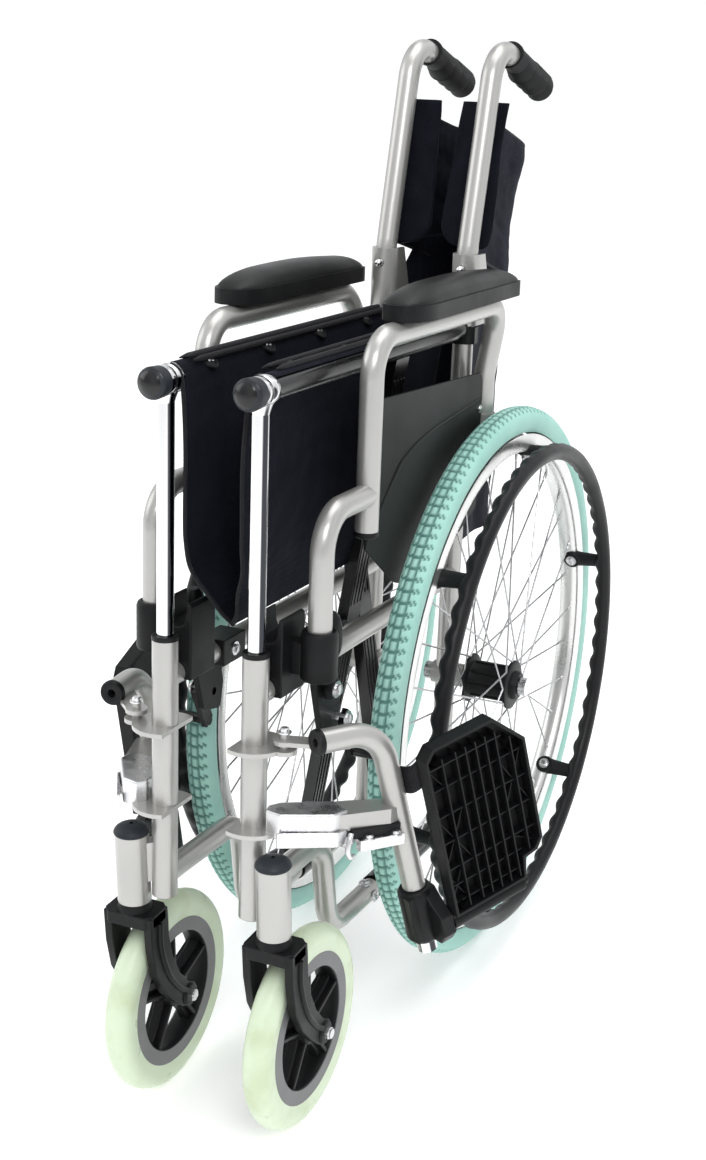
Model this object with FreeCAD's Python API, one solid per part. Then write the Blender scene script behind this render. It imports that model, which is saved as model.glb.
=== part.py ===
import FreeCAD, Part

import math
import os
from FreeCAD import Vector

# Folding self-propelled steel wheelchair, stored folded.
# +X is the sitter's left, -Y the front, +Z up, millimetres; the origin is on the floor under the middle.
# It is drawn with x from the middle between the side frames and y from the rear axle, and shifted at the end.
# Everything but the wheels is drawn level; lean() then tips it back about the rear axle, because the
# real chair stands a little higher in front.

# ---- driving dimensions ----
LEAN_DEG = 4.0
AXLE_Z = 303.0

FRAME_X = 46.0          # middle of each side frame when folded
OPEN_X = 227.15         # the same when open
POST_Y = -448.5
POST_BOTTOM = 203.5
POST_TOP = 454.0
RAIL_Z = 418.0          # upper side rail
RAIL_BORE_END = -10.2  # the rail is welded to the outside of the rear upright
LOW_Z = 116.0           # lower side rail, which the cross bars turn on
SEAT_Z = 687.0          # seat tube, folded
BAR_LENGTH = 578.36     # lower rail to seat tube
SEAT_Z_OPEN = 474.0

TUBE_R = 11.0
TUBE_BORE_R = 9.5
POST_R = 12.0
POST_BORE_R = 10.5
CHROME_R = 8.0
FIT = 0.06              # running clearance on a radius
GAP = 0.5               # free clearance on a radius

WHEEL_X = 101.0
WHEEL_R = 303.0
RIM_R = 274.0
HANDRIM_X = 144.0
HANDRIM_R = 259.0
HANDRIM_TUBE_R = 9.0
SPOKES = 36
AXLE_R = 6.0

CASTER_X = 74.0
CASTER_Y = -463.0       # swivel axis, from the rear axle
CASTER_TRAIL = 50.0
CASTER_R = 100.0
HOUSING_R = 16.0
HOUSING_Z = (227.0, 297.0)
STEM_R = 8.0

PIN_X = 76.0            # footrest swing pins
PIN_Y = -449.0
PIN_R = 4.0
HANGER_OFFSET = 31.0    # from the pins to the hanger's plane
HANGER_TOP = 388.0
SWING_LEFT = 148.0      # how far each footrest is swung out and back from its place in front
SWING_RIGHT = 173.0
FOOT_LEAN_DEG = 15.7    # foot tube, from upright
PLATE_HINGE_T = -148.0
PLATE_HINGE_E = 60.0

ARM_X = 85.0
ARM_FRONT_Y = -312.0
ARM_TOP = 716.0
STUB_Y = -403.0
ARM_REAR_X = 72.5
PAD_X = 87.5

CANE_LEAN_DEG = 13.4
CANE_BEND_Z = 765.0
BACK_PIVOT = (22.0, 708.0)
SLEEVE = (690.0, 763.0)
SLEEVE_R = 15.0

BAR_WIDTH = 30.0
BAR_THICK = 12.0
FRONT_BAR_Y = -165.0    # the bar that rises to the left seat tube
REAR_BAR_Y = -131.0

SLING_HALF = 227.15     # seat tube to the middle crease
SLING_RISE = 12.8       # the cloth runs this far off the tube's axis, over its top when open
SLING_DEG = 8.57        # how far each folded half leans from upright
BACK_DEG = 11.68

X_AXIS = Vector(1, 0, 0)
Y_AXIS = Vector(0, 1, 0)
Z_AXIS = Vector(0, 0, 1)
ORIGIN = Vector(0, 0, 0)


# ---- small tools ----
def box(x, y, z):
    """A box between pairs of limits."""
    return Part.makeBox(x[1] - x[0], y[1] - y[0], z[1] - z[0], Vector(x[0], y[0], z[0]))


def rod(start, end, radius):
    """A solid cylinder from start to end."""
    a, b = Vector(*start), Vector(*end)
    return Part.makeCylinder(radius, (b - a).Length, a, b - a)


def ring(start, end, outer, inner):
    """A hollow cylinder."""
    return rod(start, end, outer).cut(rod(start, end, inner))


def bent(points, bend, radius):
    """A round bar along straight runs joined by arcs of one bend radius."""
    pts = [Vector(*p) for p in points]
    edges, start = [], pts[0]
    for before, corner, after in zip(pts, pts[1:], pts[2:]):
        back = (before - corner).normalize()
        on = (after - corner).normalize()
        half = back.getAngle(on) / 2
        reach = bend / math.tan(half)
        a, b = corner + back * reach, corner + on * reach
        middle = (back + on).normalize()
        mid = corner + middle * (bend / math.sin(half) - bend)
        edges += [Part.LineSegment(start, a).toShape(), Part.Arc(a, mid, b).toShape()]
        start = b
    edges.append(Part.LineSegment(start, pts[-1]).toShape())
    profile = Part.Wire([Part.Circle(pts[0], pts[1] - pts[0], radius).toShape()])
    return Part.Wire(edges).makePipeShell([profile], True, True)


def joined(shapes):
    """One shape from overlapping ones."""
    whole = shapes[0].fuse(shapes[1:]) if len(shapes) > 1 else shapes[0]
    return whole.removeSplitter()


def slab(outline, low, high, axis="z"):
    """An outline extruded between two levels along an axis; its points are the other two coordinates."""
    if axis == "z":
        pts, push = [Vector(a, b, low) for a, b in outline], Vector(0, 0, high - low)
    elif axis == "y":
        pts, push = [Vector(a, low, b) for a, b in outline], Vector(0, high - low, 0)
    else:
        pts, push = [Vector(low, a, b) for a, b in outline], Vector(high - low, 0, 0)
    return Part.Face(Part.makePolygon(pts + pts[:1])).extrude(push)


def spun(outline, centre):
    """An outline of (x, radius) points turned round an axis along X through centre."""
    x, y, z = centre
    pts = [Vector(x + a, y, z + r) for a, r in outline]
    face = Part.Face(Part.makePolygon(pts + pts[:1]))
    return face.revolve(Vector(x, y, z), X_AXIS, 360)


def lean(shape):
    """Tips a level shape back about the rear axle."""
    moved = shape.copy()
    moved.rotate(Vector(0, 0, AXLE_Z), X_AXIS, -LEAN_DEG)
    return moved


NODES = {}


def add(node, *shapes):
    """Keeps one node, which may hold several separate solids."""
    NODES[node] = shapes[0] if len(shapes) == 1 else Part.makeCompound(shapes)


def add_pair(name, *shapes):
    """Keeps the left node and its mirror image on the right."""
    add(name + "_left", *shapes)
    add(name + "_right", *[s.mirror(ORIGIN, X_AXIS) for s in shapes])


# ---- side frame and what is fixed to it ----
LOWER_PATH = [
    (FRAME_X, POST_Y, 224), (FRAME_X, -306, 224), (FRAME_X, -286, LOW_Z), (FRAME_X, -182, LOW_Z),
]
LOWER_BEND = 36.0
REAR_END_Y = 75.0


def tube_set(radius, post_radius, rail_end):
    """The frame's tubes as solid bars: used once for the outsides and once for the bores."""
    return [
        rod((FRAME_X, POST_Y, POST_BOTTOM), (FRAME_X, POST_Y, POST_TOP), post_radius),
        rod((FRAME_X, POST_Y, RAIL_Z), (FRAME_X, rail_end, RAIL_Z), radius),
        rod((FRAME_X, 0, LOW_Z), (FRAME_X, 0, 697), radius),
        rod((FRAME_X, -20, LOW_Z), (FRAME_X, REAR_END_Y, LOW_Z), radius),
        bent(LOWER_PATH, LOWER_BEND, radius),
    ]


def swing_plate(z, pin_top):
    """A half-round flange on the post with a pin for the footrest."""
    disc = rod((FRAME_X, POST_Y, z), (FRAME_X, POST_Y, z + 4), 30)
    disc = disc.cut(box((-20, FRAME_X - 13), (POST_Y - 40, POST_Y + 40), (z - 1, z + 5)))
    lug = rod((PIN_X, PIN_Y, z), (PIN_X, PIN_Y, z + 4), 11)
    pin = rod((PIN_X, PIN_Y, z), (PIN_X, PIN_Y, pin_top), PIN_R)
    return [disc, lug, pin]


def back_sleeve():
    """The U-shaped bracket that the back cane stands in, open to the rear."""
    low, high = SLEEVE
    inner = TUBE_R + 0.6
    shell = rod((FRAME_X, 0, low), (FRAME_X, 0, high), SLEEVE_R)
    cheeks = slab([(0, low), (30, low), (32, low + 22), (13, high), (0, high)],
                  FRAME_X - SLEEVE_R, FRAME_X + SLEEVE_R, "x")
    slot = rod((FRAME_X, 0, 697), (FRAME_X, 0, high + 1), inner)
    rear = box((FRAME_X - inner, FRAME_X + inner), (0, 60), (low - 1, high + 1))
    button = rod((FRAME_X, -30, 748), (FRAME_X, 0, 748), 4.3)
    rear_tube = rod((FRAME_X, 0, low - 1), (FRAME_X, 0, 697), TUBE_R)
    return joined([shell, cheeks]).cut(slot).cut(rear.cut(rear_tube)).cut(button)


def side_frame():
    outside = tube_set(TUBE_R, POST_R, 0)
    outside += swing_plate(292, 310) + swing_plate(370, 390)
    socket = rod((ARM_REAR_X, 0, 545), (ARM_REAR_X, 0, 600), 13.5)
    socket_web = box((FRAME_X + 8, ARM_REAR_X - 8), (-5, 5), (553, 592))
    bores = tube_set(TUBE_BORE_R, POST_BORE_R, RAIL_BORE_END)
    frame = joined(outside + [socket, socket_web]).cut(joined(bores))
    frame = frame.cut(rod((ARM_REAR_X, 0, 540), (ARM_REAR_X, 0, 605), TUBE_R + GAP))
    pivot_rod = rod((FRAME_X, -215, LOW_Z), (FRAME_X, 12, LOW_Z), CHROME_R)
    inserts = [
        ring((FRAME_X, -215, LOW_Z), (FRAME_X, -182, LOW_Z), TUBE_BORE_R, CHROME_R),
        ring((FRAME_X, -20, LOW_Z), (FRAME_X, 12, LOW_Z), TUBE_BORE_R, CHROME_R),
    ]
    pivot_bolt = rod((FRAME_X - SLEEVE_R - 5, *BACK_PIVOT), (FRAME_X + SLEEVE_R + 5, *BACK_PIVOT), PIN_R)
    boss = rod((FRAME_X - 13, 0, AXLE_Z), (FRAME_X + 24, 0, AXLE_Z), 13)
    frame = joined([frame, back_sleeve(), pivot_rod, pivot_bolt, boss] + inserts)
    frame = lean(frame.cut(rod((0, 0, AXLE_Z), (200, 0, AXLE_Z), AXLE_R)))
    low, high = HOUSING_Z
    housing = rod((CASTER_X, CASTER_Y, low), (CASTER_X, CASTER_Y, high), HOUSING_R)
    gusset = slab([(52, CASTER_Y + 5), (64, CASTER_Y - 6), (70, CASTER_Y + 6), (58, CASTER_Y + 17)],
                  low + 22, high - 8)
    post_bore = lean(rod((FRAME_X, POST_Y, POST_BOTTOM), (FRAME_X, POST_Y, POST_TOP), POST_BORE_R))
    frame = joined([frame, housing, gusset]).cut(post_bore)
    return frame.cut(rod((CASTER_X, CASTER_Y, low - 1), (CASTER_X, CASTER_Y, high + 1), STEM_R + FIT))


def frame_caps():
    """Post bushing, caster dust cap and the plugs of the frame's open ends."""
    bush = joined([
        rod((FRAME_X, POST_Y, POST_TOP), (FRAME_X, POST_Y, POST_TOP + 4), POST_R + 0.6),
        rod((FRAME_X, POST_Y, POST_TOP - 20), (FRAME_X, POST_Y, POST_TOP), POST_BORE_R),
    ]).cut(rod((FRAME_X, POST_Y, POST_TOP - 30), (FRAME_X, POST_Y, POST_TOP + 9), CHROME_R + 0.35))
    top = HOUSING_Z[1]
    dome = Part.makeSphere(26, Vector(CASTER_X, CASTER_Y, top - 18))
    cap = dome.common(rod((CASTER_X, CASTER_Y, top), (CASTER_X, CASTER_Y, top + 12), HOUSING_R + 1))
    return lean(bush), cap


def saddle():
    """Cradle that the seat tube drops into when the chair opens, with the armrest's front socket."""
    body = box((FRAME_X - 17, FRAME_X + 17), (-432, -388), (RAIL_Z - 4, SEAT_Z_OPEN + 10))
    body = body.cut(rod((FRAME_X, -500, SEAT_Z_OPEN), (FRAME_X, -300, SEAT_Z_OPEN), TUBE_R + 0.8))
    body = body.cut(box((FRAME_X - 11.8, FRAME_X + 11.8), (-440, -380), (SEAT_Z_OPEN, SEAT_Z_OPEN + 20)))
    body = body.cut(rod((FRAME_X, -500, RAIL_Z), (FRAME_X, -300, RAIL_Z), TUBE_R))
    arm = box((FRAME_X + 15, ARM_X), (-414, -392), (428, 462))
    cup = rod((ARM_X, STUB_Y, 425), (ARM_X, STUB_Y, 472), 17)
    whole = joined([body, arm, cup])
    return whole.cut(rod((ARM_X, STUB_Y, 440), (ARM_X, STUB_Y, 480), TUBE_R + GAP))


def axle_bolt():
    shaft = rod((FRAME_X - 16, 0, AXLE_Z), (WHEEL_X + 38, 0, AXLE_Z), AXLE_R)
    head = rod((FRAME_X - 22, 0, AXLE_Z), (FRAME_X - 13, 0, AXLE_Z), 10)
    nut = rod((WHEEL_X + 34.5, 0, AXLE_Z), (WHEEL_X + 42, 0, AXLE_Z), 10)
    return joined([shaft, head, nut])


# ---- brake ----
BRAKE_X = (60.0, 67.0)
LEVER_PIVOT = (-348.0, 398.0)
SHOE_PIVOT = (-334.0, 366.0)
SHOE_ROD = (-314.0, 326.0)


def brake_bracket():
    plate = slab([(-370, 418), (-370, 405), (-352, 352), (-322, 346), (-316, 372), (-326, 412), (-334, 418)],
                 *BRAKE_X, "x")
    clamp = box((FRAME_X - 14, BRAKE_X[0]), (-368, -322), (RAIL_Z - 14, RAIL_Z + 14))
    clamp = clamp.cut(rod((FRAME_X, -400, RAIL_Z), (FRAME_X, -300, RAIL_Z), TUBE_R))
    pins = [rod((BRAKE_X[0], *p), (84, *p), PIN_R) for p in (LEVER_PIVOT, SHOE_PIVOT)]
    return joined([plate, clamp] + pins)


def brake_lever():
    y, z = LEVER_PIVOT
    arm = slab([(y - 9, z - 8), (y + 9, z - 8), (y + 4, z + 46), (y - 12, z + 46)], 68, 75, "x")
    knob = rod((71.5, y - 2, z + 30), (71.5, y - 8, z + 76), 11)
    return joined([arm, knob]).cut(rod((60, y, z), (90, y, z), PIN_R + FIT))


def brake_shoe():
    (y, z), (ry, rz) = SHOE_PIVOT, SHOE_ROD
    arm = slab([(y - 8, z - 3), (y + 3, z + 8), (ry + 6, rz + 3), (ry - 5, rz - 6)], 76, 82, "x")
    bar = rod((76, ry, rz), (120, ry, rz), 5)
    return joined([arm, bar]).cut(rod((60, y, z), (90, y, z), PIN_R + FIT))


# ---- casters ----
def caster_fork():
    x, y = CASTER_X, CASTER_Y
    axle_y = y + CASTER_TRAIL
    crown = box((x - 26, x + 26), (y - 20, y + 22), (206, 219))
    collar = rod((x, y, 218), (x, y, HOUSING_Z[0] - 1), 14)
    stem = rod((x, y, 210), (x, y, HOUSING_Z[1] - 4), STEM_R)
    leg = [
        (y - 20, 219), (y - 20, 196), (y - 12, 170), (y + 12, 132), (axle_y - 12, 96),
        (axle_y, 88), (axle_y + 12, 94), (axle_y + 12, 106), (y + 34, 150), (y + 22, 190), (y + 22, 219),
    ]
    legs = [slab(leg, x + a, x + b, "x") for a, b in ((-26, -17), (17, 26))]
    bolt = rod((x - 34, axle_y, CASTER_R), (x + 34, axle_y, CASTER_R), 5)
    nuts = [rod((x + a, axle_y, CASTER_R), (x + b, axle_y, CASTER_R), 8) for a, b in ((-33, -25), (25, 33))]
    return joined([crown, collar, stem, bolt] + legs + nuts)


def caster_wheel():
    """The core with five spokes, and the solid tyre."""
    centre = (CASTER_X, CASTER_Y + CASTER_TRAIL, CASTER_R)
    rim = spun([(-12, 60), (12, 60), (12, 74), (-12, 74)], centre)
    hub = spun([(-15, 5 + FIT), (15, 5 + FIT), (15, 15), (-15, 15)], centre)
    spokes = []
    for i in range(5):
        spoke = box((centre[0] - 8, centre[0] + 8), (centre[1] - 8, centre[1] + 8), (centre[2] + 12, centre[2] + 64))
        spoke.rotate(Vector(*centre), X_AXIS, 72 * i)
        spokes.append(spoke)
    core = joined([rim, hub] + spokes)
    side = [(-14, 74), (-14, 88)]
    crown = [(14 * math.cos(a), 86 + 14 * math.sin(a)) for a in [math.pi * (8 - i) / 8 for i in range(9)]]
    tyre = spun(side[:1] + crown + [(14, 74)], centre)
    return core, tyre


# ---- rear wheels ----
def rear_wheel():
    """Tyre, rim, spokes, hub and handrim."""
    centre = (WHEEL_X, 0, AXLE_Z)
    arc = [(14 * math.cos(a), RIM_R + 14 + 15 * math.sin(a)) for a in [math.pi * (10 - i) / 10 for i in range(11)]]
    tyre = spun([(-9.5, RIM_R - 8)] + [(-9.5, RIM_R)] + arc + [(9.5, RIM_R), (9.5, RIM_R - 8)], centre)
    rim = spun([(-12, 258), (-8, 255), (8, 255), (12, 258), (12, RIM_R), (9.5, RIM_R), (9.5, RIM_R - 8),
                (-9.5, RIM_R - 8), (-9.5, RIM_R), (-12, RIM_R)], centre)
    hub = spun([(-31, AXLE_R + FIT), (33, AXLE_R + FIT), (33, 15), (27, 15), (26, 27), (22, 27), (20, 20),
                (-20, 20), (-22, 27), (-26, 27), (-27, 15), (-31, 15)], centre)
    spokes = []
    for i in range(SPOKES):
        side = 1 if i % 2 else -1
        turn = 2 * math.pi * i / SPOKES
        lead = 1 if (i // 2) % 2 else -1  # leading spokes pass outside the trailing ones
        cross = turn + math.radians(47.4 * lead)
        inner = (centre[0] + side * (23.4 + 1.7 * lead), 28.05 * math.sin(cross), AXLE_Z + 28.05 * math.cos(cross))
        outer = (centre[0] + side * 3, 254.8 * math.sin(turn), AXLE_Z + 254.8 * math.cos(turn))
        spokes.append(rod(inner, outer, 1.0))
    hoop = Part.makeTorus(HANDRIM_R, HANDRIM_TUBE_R, Vector(HANDRIM_X, 0, AXLE_Z), X_AXIS)
    tabs = []
    for i in range(6):
        tab = box((WHEEL_X + 12, HANDRIM_X), (-8, 8), (AXLE_Z + 256, AXLE_Z + 262))
        tab.rotate(Vector(0, 0, AXLE_Z), X_AXIS, 60 * i + 15)
        tabs.append(tab)
    return tyre, rim, spokes, hub, joined([hoop] + tabs)


# ---- back canes ----
def cane_point(z):
    """Where the leaning part of the cane is at a height."""
    return (z - CANE_BEND_Z) * math.tan(math.radians(CANE_LEAN_DEG))


HANDLE = (cane_point(972), 972.0)
GRIP_END = (198.0, 927.0)


def toward(a, b, share):
    """The point a share of the way from a to b."""
    return tuple(p + (q - p) * share for p, q in zip(a, b))


def back_cane():
    end = toward(HANDLE, GRIP_END, 0.97)
    path = [(FRAME_X, 0, 704), (FRAME_X, 0, CANE_BEND_Z), (FRAME_X, *HANDLE), (FRAME_X, *end)]
    tube = bent(path, 37, TUBE_R).cut(bent(path, 37, TUBE_BORE_R))
    y, z = BACK_PIVOT
    ear = box((FRAME_X - 8, FRAME_X + 8), (8, y + 8), (z - 8, z + 12)).cut(
        rod((FRAME_X, 0, 690), (FRAME_X, 0, 760), TUBE_BORE_R))
    whole = joined([tube, ear]).cut(rod((0, y, z), (99, y, z), PIN_R + FIT))
    return whole.cut(rod((FRAME_X, -30, 748), (FRAME_X, 0, 748), 4.6))


def push_grip():
    start = toward(HANDLE, GRIP_END, 0.28)
    body = rod((FRAME_X, *start), (FRAME_X, *GRIP_END), 16)
    bore = rod((FRAME_X, *toward(HANDLE, GRIP_END, 0.2)), (FRAME_X, *toward(HANDLE, GRIP_END, 0.97)), TUBE_R)
    return body.cut(bore)


def snap_button():
    return joined([
        rod((FRAME_X, -19, 748), (FRAME_X, -11.4, 748), 4),
        Part.makeSphere(4, Vector(FRAME_X, -19, 748)),
    ])


# ---- armrests ----
def armrest_tube():
    loop = [(ARM_X, ARM_FRONT_Y, 538), (ARM_X, ARM_FRONT_Y, ARM_TOP), (ARM_X, 0, ARM_TOP),
            (ARM_REAR_X, 0, 640), (ARM_REAR_X, 0, 537)]
    stub = [(ARM_X, ARM_FRONT_Y, 576), (ARM_X, STUB_Y, 576), (ARM_X, STUB_Y, 444)]
    outside = joined([bent(loop, 34, TUBE_R), bent(stub, 36, TUBE_R)])
    bore = joined([bent(loop, 34, TUBE_BORE_R), bent(stub, 36, TUBE_BORE_R)])
    lugs = [
        box((78, ARM_X - 3), (-307, -280), (630, 642)),
        box((78, ARM_X - 3), (-307, -280), (548, 560)),
        box((73, 75), (-26, -9), (604, 614)),
    ]
    return joined([outside] + lugs).cut(bore)


def arm_pad():
    """Hard base and padded top, as two solids."""
    def oval(low, high, half):
        y0, y1 = -270.0, -6.0
        body = box((PAD_X - half, PAD_X + half), (y0 + half, y1 - 16), (low, high))
        nose = rod((PAD_X, y0 + half, low), (PAD_X, y0 + half, high), half)
        tail = box((PAD_X - half, PAD_X + half), (y1 - 40, y1), (low, high))
        return joined([body, nose, tail])

    base = oval(ARM_TOP + TUBE_R, ARM_TOP + 25, 25)
    top = oval(ARM_TOP + 25, ARM_TOP + 48, 25)
    edges = [e for e in top.Edges if abs(e.CenterOfMass.z - (ARM_TOP + 48)) < 0.01]
    return base, top.makeFillet(14, edges)


def side_panel():
    outline = [(-298, 653), (-282, 657), (-24, 645), (-18, 639), (-18, 500), (-150, 448), (-225, 470),
               (-298, 520)]
    return slab(outline, 75, 78, "x")


# ---- footrests: drawn in their own plane, s along it from the pins, e out of it, then swung ----
FOOT_DIR = Vector(math.sin(math.radians(FOOT_LEAN_DEG)), 0, -math.cos(math.radians(FOOT_LEAN_DEG)))
FOOT_ACROSS = Vector(math.cos(math.radians(FOOT_LEAN_DEG)), 0, math.sin(math.radians(FOOT_LEAN_DEG)))
FOOT_H = 181.0          # the foot tube's place along FOOT_ACROSS
LATCH_STUD = (52.0, 25.0)


def foot(h, e, t):
    """A point by its place across the foot tube, out of the plane and along the tube."""
    p = FOOT_ACROSS * h + FOOT_DIR * t
    return (p.x, e, p.z)


def foot_box(h, e, t):
    """A box along the foot tube's own directions."""
    corner = [foot(h[0], e[0], t[0]), foot(h[1], e[0], t[0]), foot(h[1], e[0], t[1]), foot(h[0], e[0], t[1])]
    return Part.Face(Part.makePolygon([Vector(*p) for p in corner + corner[:1]])).extrude(
        Vector(0, e[1] - e[0], 0))


def hanger():
    top_run = 79.0
    end = foot(FOOT_H, HANGER_OFFSET, -184)
    path = [(16, HANGER_OFFSET, HANGER_TOP), (top_run, HANGER_OFFSET, HANGER_TOP), end]
    outside, bore = bent(path, 42, TUBE_R), bent(path, 42, TUBE_BORE_R)
    arm = slab([(-9, -7), (3, -11), (62, 6), (108, 24), (108, 38), (88, 42), (30, 30), (-8, 8)], 298, 314)
    eye = rod((0, 0, 298), (0, 0, 314), 12)
    ear = slab([(-7, -6), (4, -9), (44, 24), (44, 38), (30, 36), (-8, 5)], 379, 383)
    ear_eye = rod((0, 0, 379), (0, 0, 383), 10)
    stud = rod((*LATCH_STUD, 281.5), (*LATCH_STUD, 300), 3)
    stud_head = rod((*LATCH_STUD, 280), (*LATCH_STUD, 283), 6)
    whole = joined([outside, arm, eye, ear, ear_eye, stud, stud_head]).cut(bore)
    return whole.cut(rod((0, 0, 270), (0, 0, 400), PIN_R + FIT))


def hanger_latch():
    """Flat spring-steel catch and its thumb lever, turning on a stud under the arm."""
    catch = slab([(15, 4), (34, 6), (60, 18), (60, 32), (34, 32), (16, 20)], 284, 290)
    lever = slab([(52, 18), (92, 2), (98, 10), (60, 32)], 284, 289)
    spacer = rod((*LATCH_STUD, 290), (*LATCH_STUD, 297.6), 6)
    return joined([catch, lever, spacer]).cut(rod((*LATCH_STUD, 270), (*LATCH_STUD, 310), 3 + FIT))


def foot_tube():
    """Chrome foot tube and the moulded hub clamped on it, as two solids."""
    ends = foot(FOOT_H, HANGER_OFFSET, -310), foot(FOOT_H, HANGER_OFFSET, -112)
    chrome = ring(*ends, TUBE_BORE_R - FIT, 8)
    hub = foot_box((FOOT_H - 17, FOOT_H + 17), (HANGER_OFFSET - 16, HANGER_OFFSET + 17), (-183, -124))
    lug = foot_box((FOOT_H + 2, FOOT_H + 14), (HANGER_OFFSET + 16, PLATE_HINGE_E + 7), (-156, -140))
    pin = rod(foot(FOOT_H + 4, PLATE_HINGE_E, PLATE_HINGE_T), foot(FOOT_H + 105, PLATE_HINGE_E, PLATE_HINGE_T), PIN_R)
    return chrome, joined([hub, lug, pin]).cut(rod(*ends, TUBE_BORE_R - FIT))


def footplate():
    """Ribbed plate, flipped up; the ribs are on the side that faces out."""
    thick = (57.0, 61.0)
    lip = (57.0, 73.0)
    low, high, top, bottom = FOOT_H + 15, FOOT_H + 122, -335, -156
    edge = [(low, bottom), (low, top + 8), (low + 8, top), (high - 26, top), (high, top + 30),
            (high, bottom - 30), (high - 20, bottom)]

    def plate(points, e):
        pts = [Vector(*foot(h, e[0], t)) for h, t in points]
        return Part.Face(Part.makePolygon(pts + pts[:1])).extrude(Vector(0, e[1] - e[0], 0))

    inside = [(low + 4, bottom - 4), (low + 4, top + 10), (low + 10, top + 4), (high - 28, top + 4),
              (high - 4, top + 32), (high - 4, bottom - 32), (high - 22, bottom - 4)]
    solids = [plate(edge, lip).cut(plate(inside, (thick[1], lip[1] + 1)))]
    solids += [foot_box((low + 18 * i, low + 18 * i + 2.5), (57, 71), (top + 22, bottom)) for i in range(1, 6)]
    solids += [foot_box((low, high - 1), (57, 71), (t, t + 2.5)) for t in (-300, -245, -190)]
    barrel = rod(foot(low, PLATE_HINGE_E, PLATE_HINGE_T), foot(high - 18, PLATE_HINGE_E, PLATE_HINGE_T), 8)
    neck = foot_box((low, high - 20), (57, 66), (-158, -150))
    bore = rod(foot(low - 5, PLATE_HINGE_E, PLATE_HINGE_T), foot(high + 5, PLATE_HINGE_E, PLATE_HINGE_T), PIN_R + FIT)
    return joined(solids + [barrel, neck]).cut(bore)


def swung(shape, degrees):
    """From the footrest's own plane to the left side of the chair frame, swung out by some degrees."""
    moved = shape.mirror(ORIGIN, Y_AXIS)
    moved.rotate(ORIGIN, Z_AXIS, degrees - 90)
    moved.translate(Vector(PIN_X, PIN_Y, 0))
    return moved


# ---- cross bars, seat tubes and their posts ----
def cross_bar(bottom_x, top_x, bar_y):
    """A bar with the sleeve it turns on below and the seat tube it carries above."""
    sleeve = rod((bottom_x, -178, LOW_Z), (bottom_x, -24, LOW_Z), 12.7)
    seat = rod((top_x, -463, SEAT_Z), (top_x, -20, SEAT_Z), TUBE_R)
    cap = Part.makeSphere(19, Vector(top_x, -459, SEAT_Z)).common(
        rod((top_x, -480, SEAT_Z), (top_x, -463, SEAT_Z), 13.5))
    tilt = math.degrees(math.atan2(top_x - bottom_x, SEAT_Z - LOW_Z))
    bar = box((-BAR_THICK / 2, BAR_THICK / 2), (bar_y - BAR_WIDTH / 2, bar_y + BAR_WIDTH / 2), (0, BAR_LENGTH))
    inside = (-BAR_THICK / 2 + 1.5, BAR_THICK / 2 - 1.5), (bar_y - BAR_WIDTH / 2 + 1.5, bar_y + BAR_WIDTH / 2 - 1.5)
    bar = bar.cut(box(*inside, (25, 265))).cut(box(*inside, (315, 555)))
    bar.rotate(ORIGIN, Y_AXIS, tilt)
    bar.translate(Vector(bottom_x, 0, LOW_Z))
    whole = joined([sleeve, seat, cap, bar])
    whole = whole.cut(rod((bottom_x, -180, LOW_Z), (bottom_x, -20, LOW_Z), CHROME_R + FIT))
    return whole.cut(rod((top_x, -430, SEAT_Z), (top_x, -15, SEAT_Z), TUBE_BORE_R))


def cross_bars():
    """The front bar rises to the left; the pivot bolt is fixed in the rear bar."""
    middle = (LOW_Z + SEAT_Z) / 2
    front = cross_bar(-FRAME_X, FRAME_X, FRONT_BAR_Y)
    rear = cross_bar(FRAME_X, -FRAME_X, REAR_BAR_Y)
    bolt = rod((0, FRONT_BAR_Y - BAR_WIDTH / 2 - 8, middle), (0, REAR_BAR_Y, middle), 5)
    head = rod((0, FRONT_BAR_Y - BAR_WIDTH / 2 - 10, middle), (0, FRONT_BAR_Y - BAR_WIDTH / 2 - 1, middle), 9)
    front = front.cut(rod((0, -300, middle), (0, -100, middle), 5 + FIT))
    return joined([rear, bolt, head]), front


def seat_post():
    """Chrome post with its collar on the seat tube, and the rear slider on the same side."""
    collar = ring((FRAME_X, -461, SEAT_Z), (FRAME_X, -437, SEAT_Z), 13.5, TUBE_R + FIT)
    post = rod((FRAME_X, POST_Y, 422), (FRAME_X, POST_Y, SEAT_Z), CHROME_R)
    post = post.cut(rod((FRAME_X, POST_Y, 421), (FRAME_X, POST_Y, 660), CHROME_R - 1.5))
    post = joined([collar, post.cut(rod((FRAME_X, -480, SEAT_Z), (FRAME_X, -400, SEAT_Z), 12))])
    block = rod((FRAME_X, 0, SEAT_Z - 16), (FRAME_X, 0, SEAT_Z + 1.5), 16)
    block = block.cut(box((53, 80), (-20, 20), (SEAT_Z - 40, SEAT_Z + 40)))
    spigot = rod((FRAME_X, -48, SEAT_Z), (FRAME_X, -18, SEAT_Z), TUBE_BORE_R - FIT)
    neck = rod((FRAME_X, -19, SEAT_Z), (FRAME_X, -8, SEAT_Z), 10.5)
    trim = box((20, 80), (-30, 30), (SEAT_Z + 1.5, SEAT_Z + 30))
    slider = joined([block, spigot, neck.cut(trim)])
    return post, slider.cut(rod((FRAME_X, 0, 600), (FRAME_X, 0, 760), TUBE_R + GAP))


# ---- cloth stand-ins ----
def seat_half():
    """Half of the hanging seat cloth, hinged on its own seat tube."""
    turn = math.radians(SLING_DEG)
    down = Vector(-math.sin(turn), 0, -math.cos(turn))
    side = Vector(-math.cos(turn), 0, math.sin(turn))
    start = Vector(FRAME_X, -430, SEAT_Z) + side * SLING_RISE

    def at(along, off):
        return start + down * along + side * off

    pts = [at(0, -1.1), at(0, 1.1), at(SLING_HALF - 52, 1.1), at(SLING_HALF - 52, -1.1)]
    return Part.Face(Part.makePolygon(pts + pts[:1])).extrude(Vector(0, 405, 0))


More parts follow.
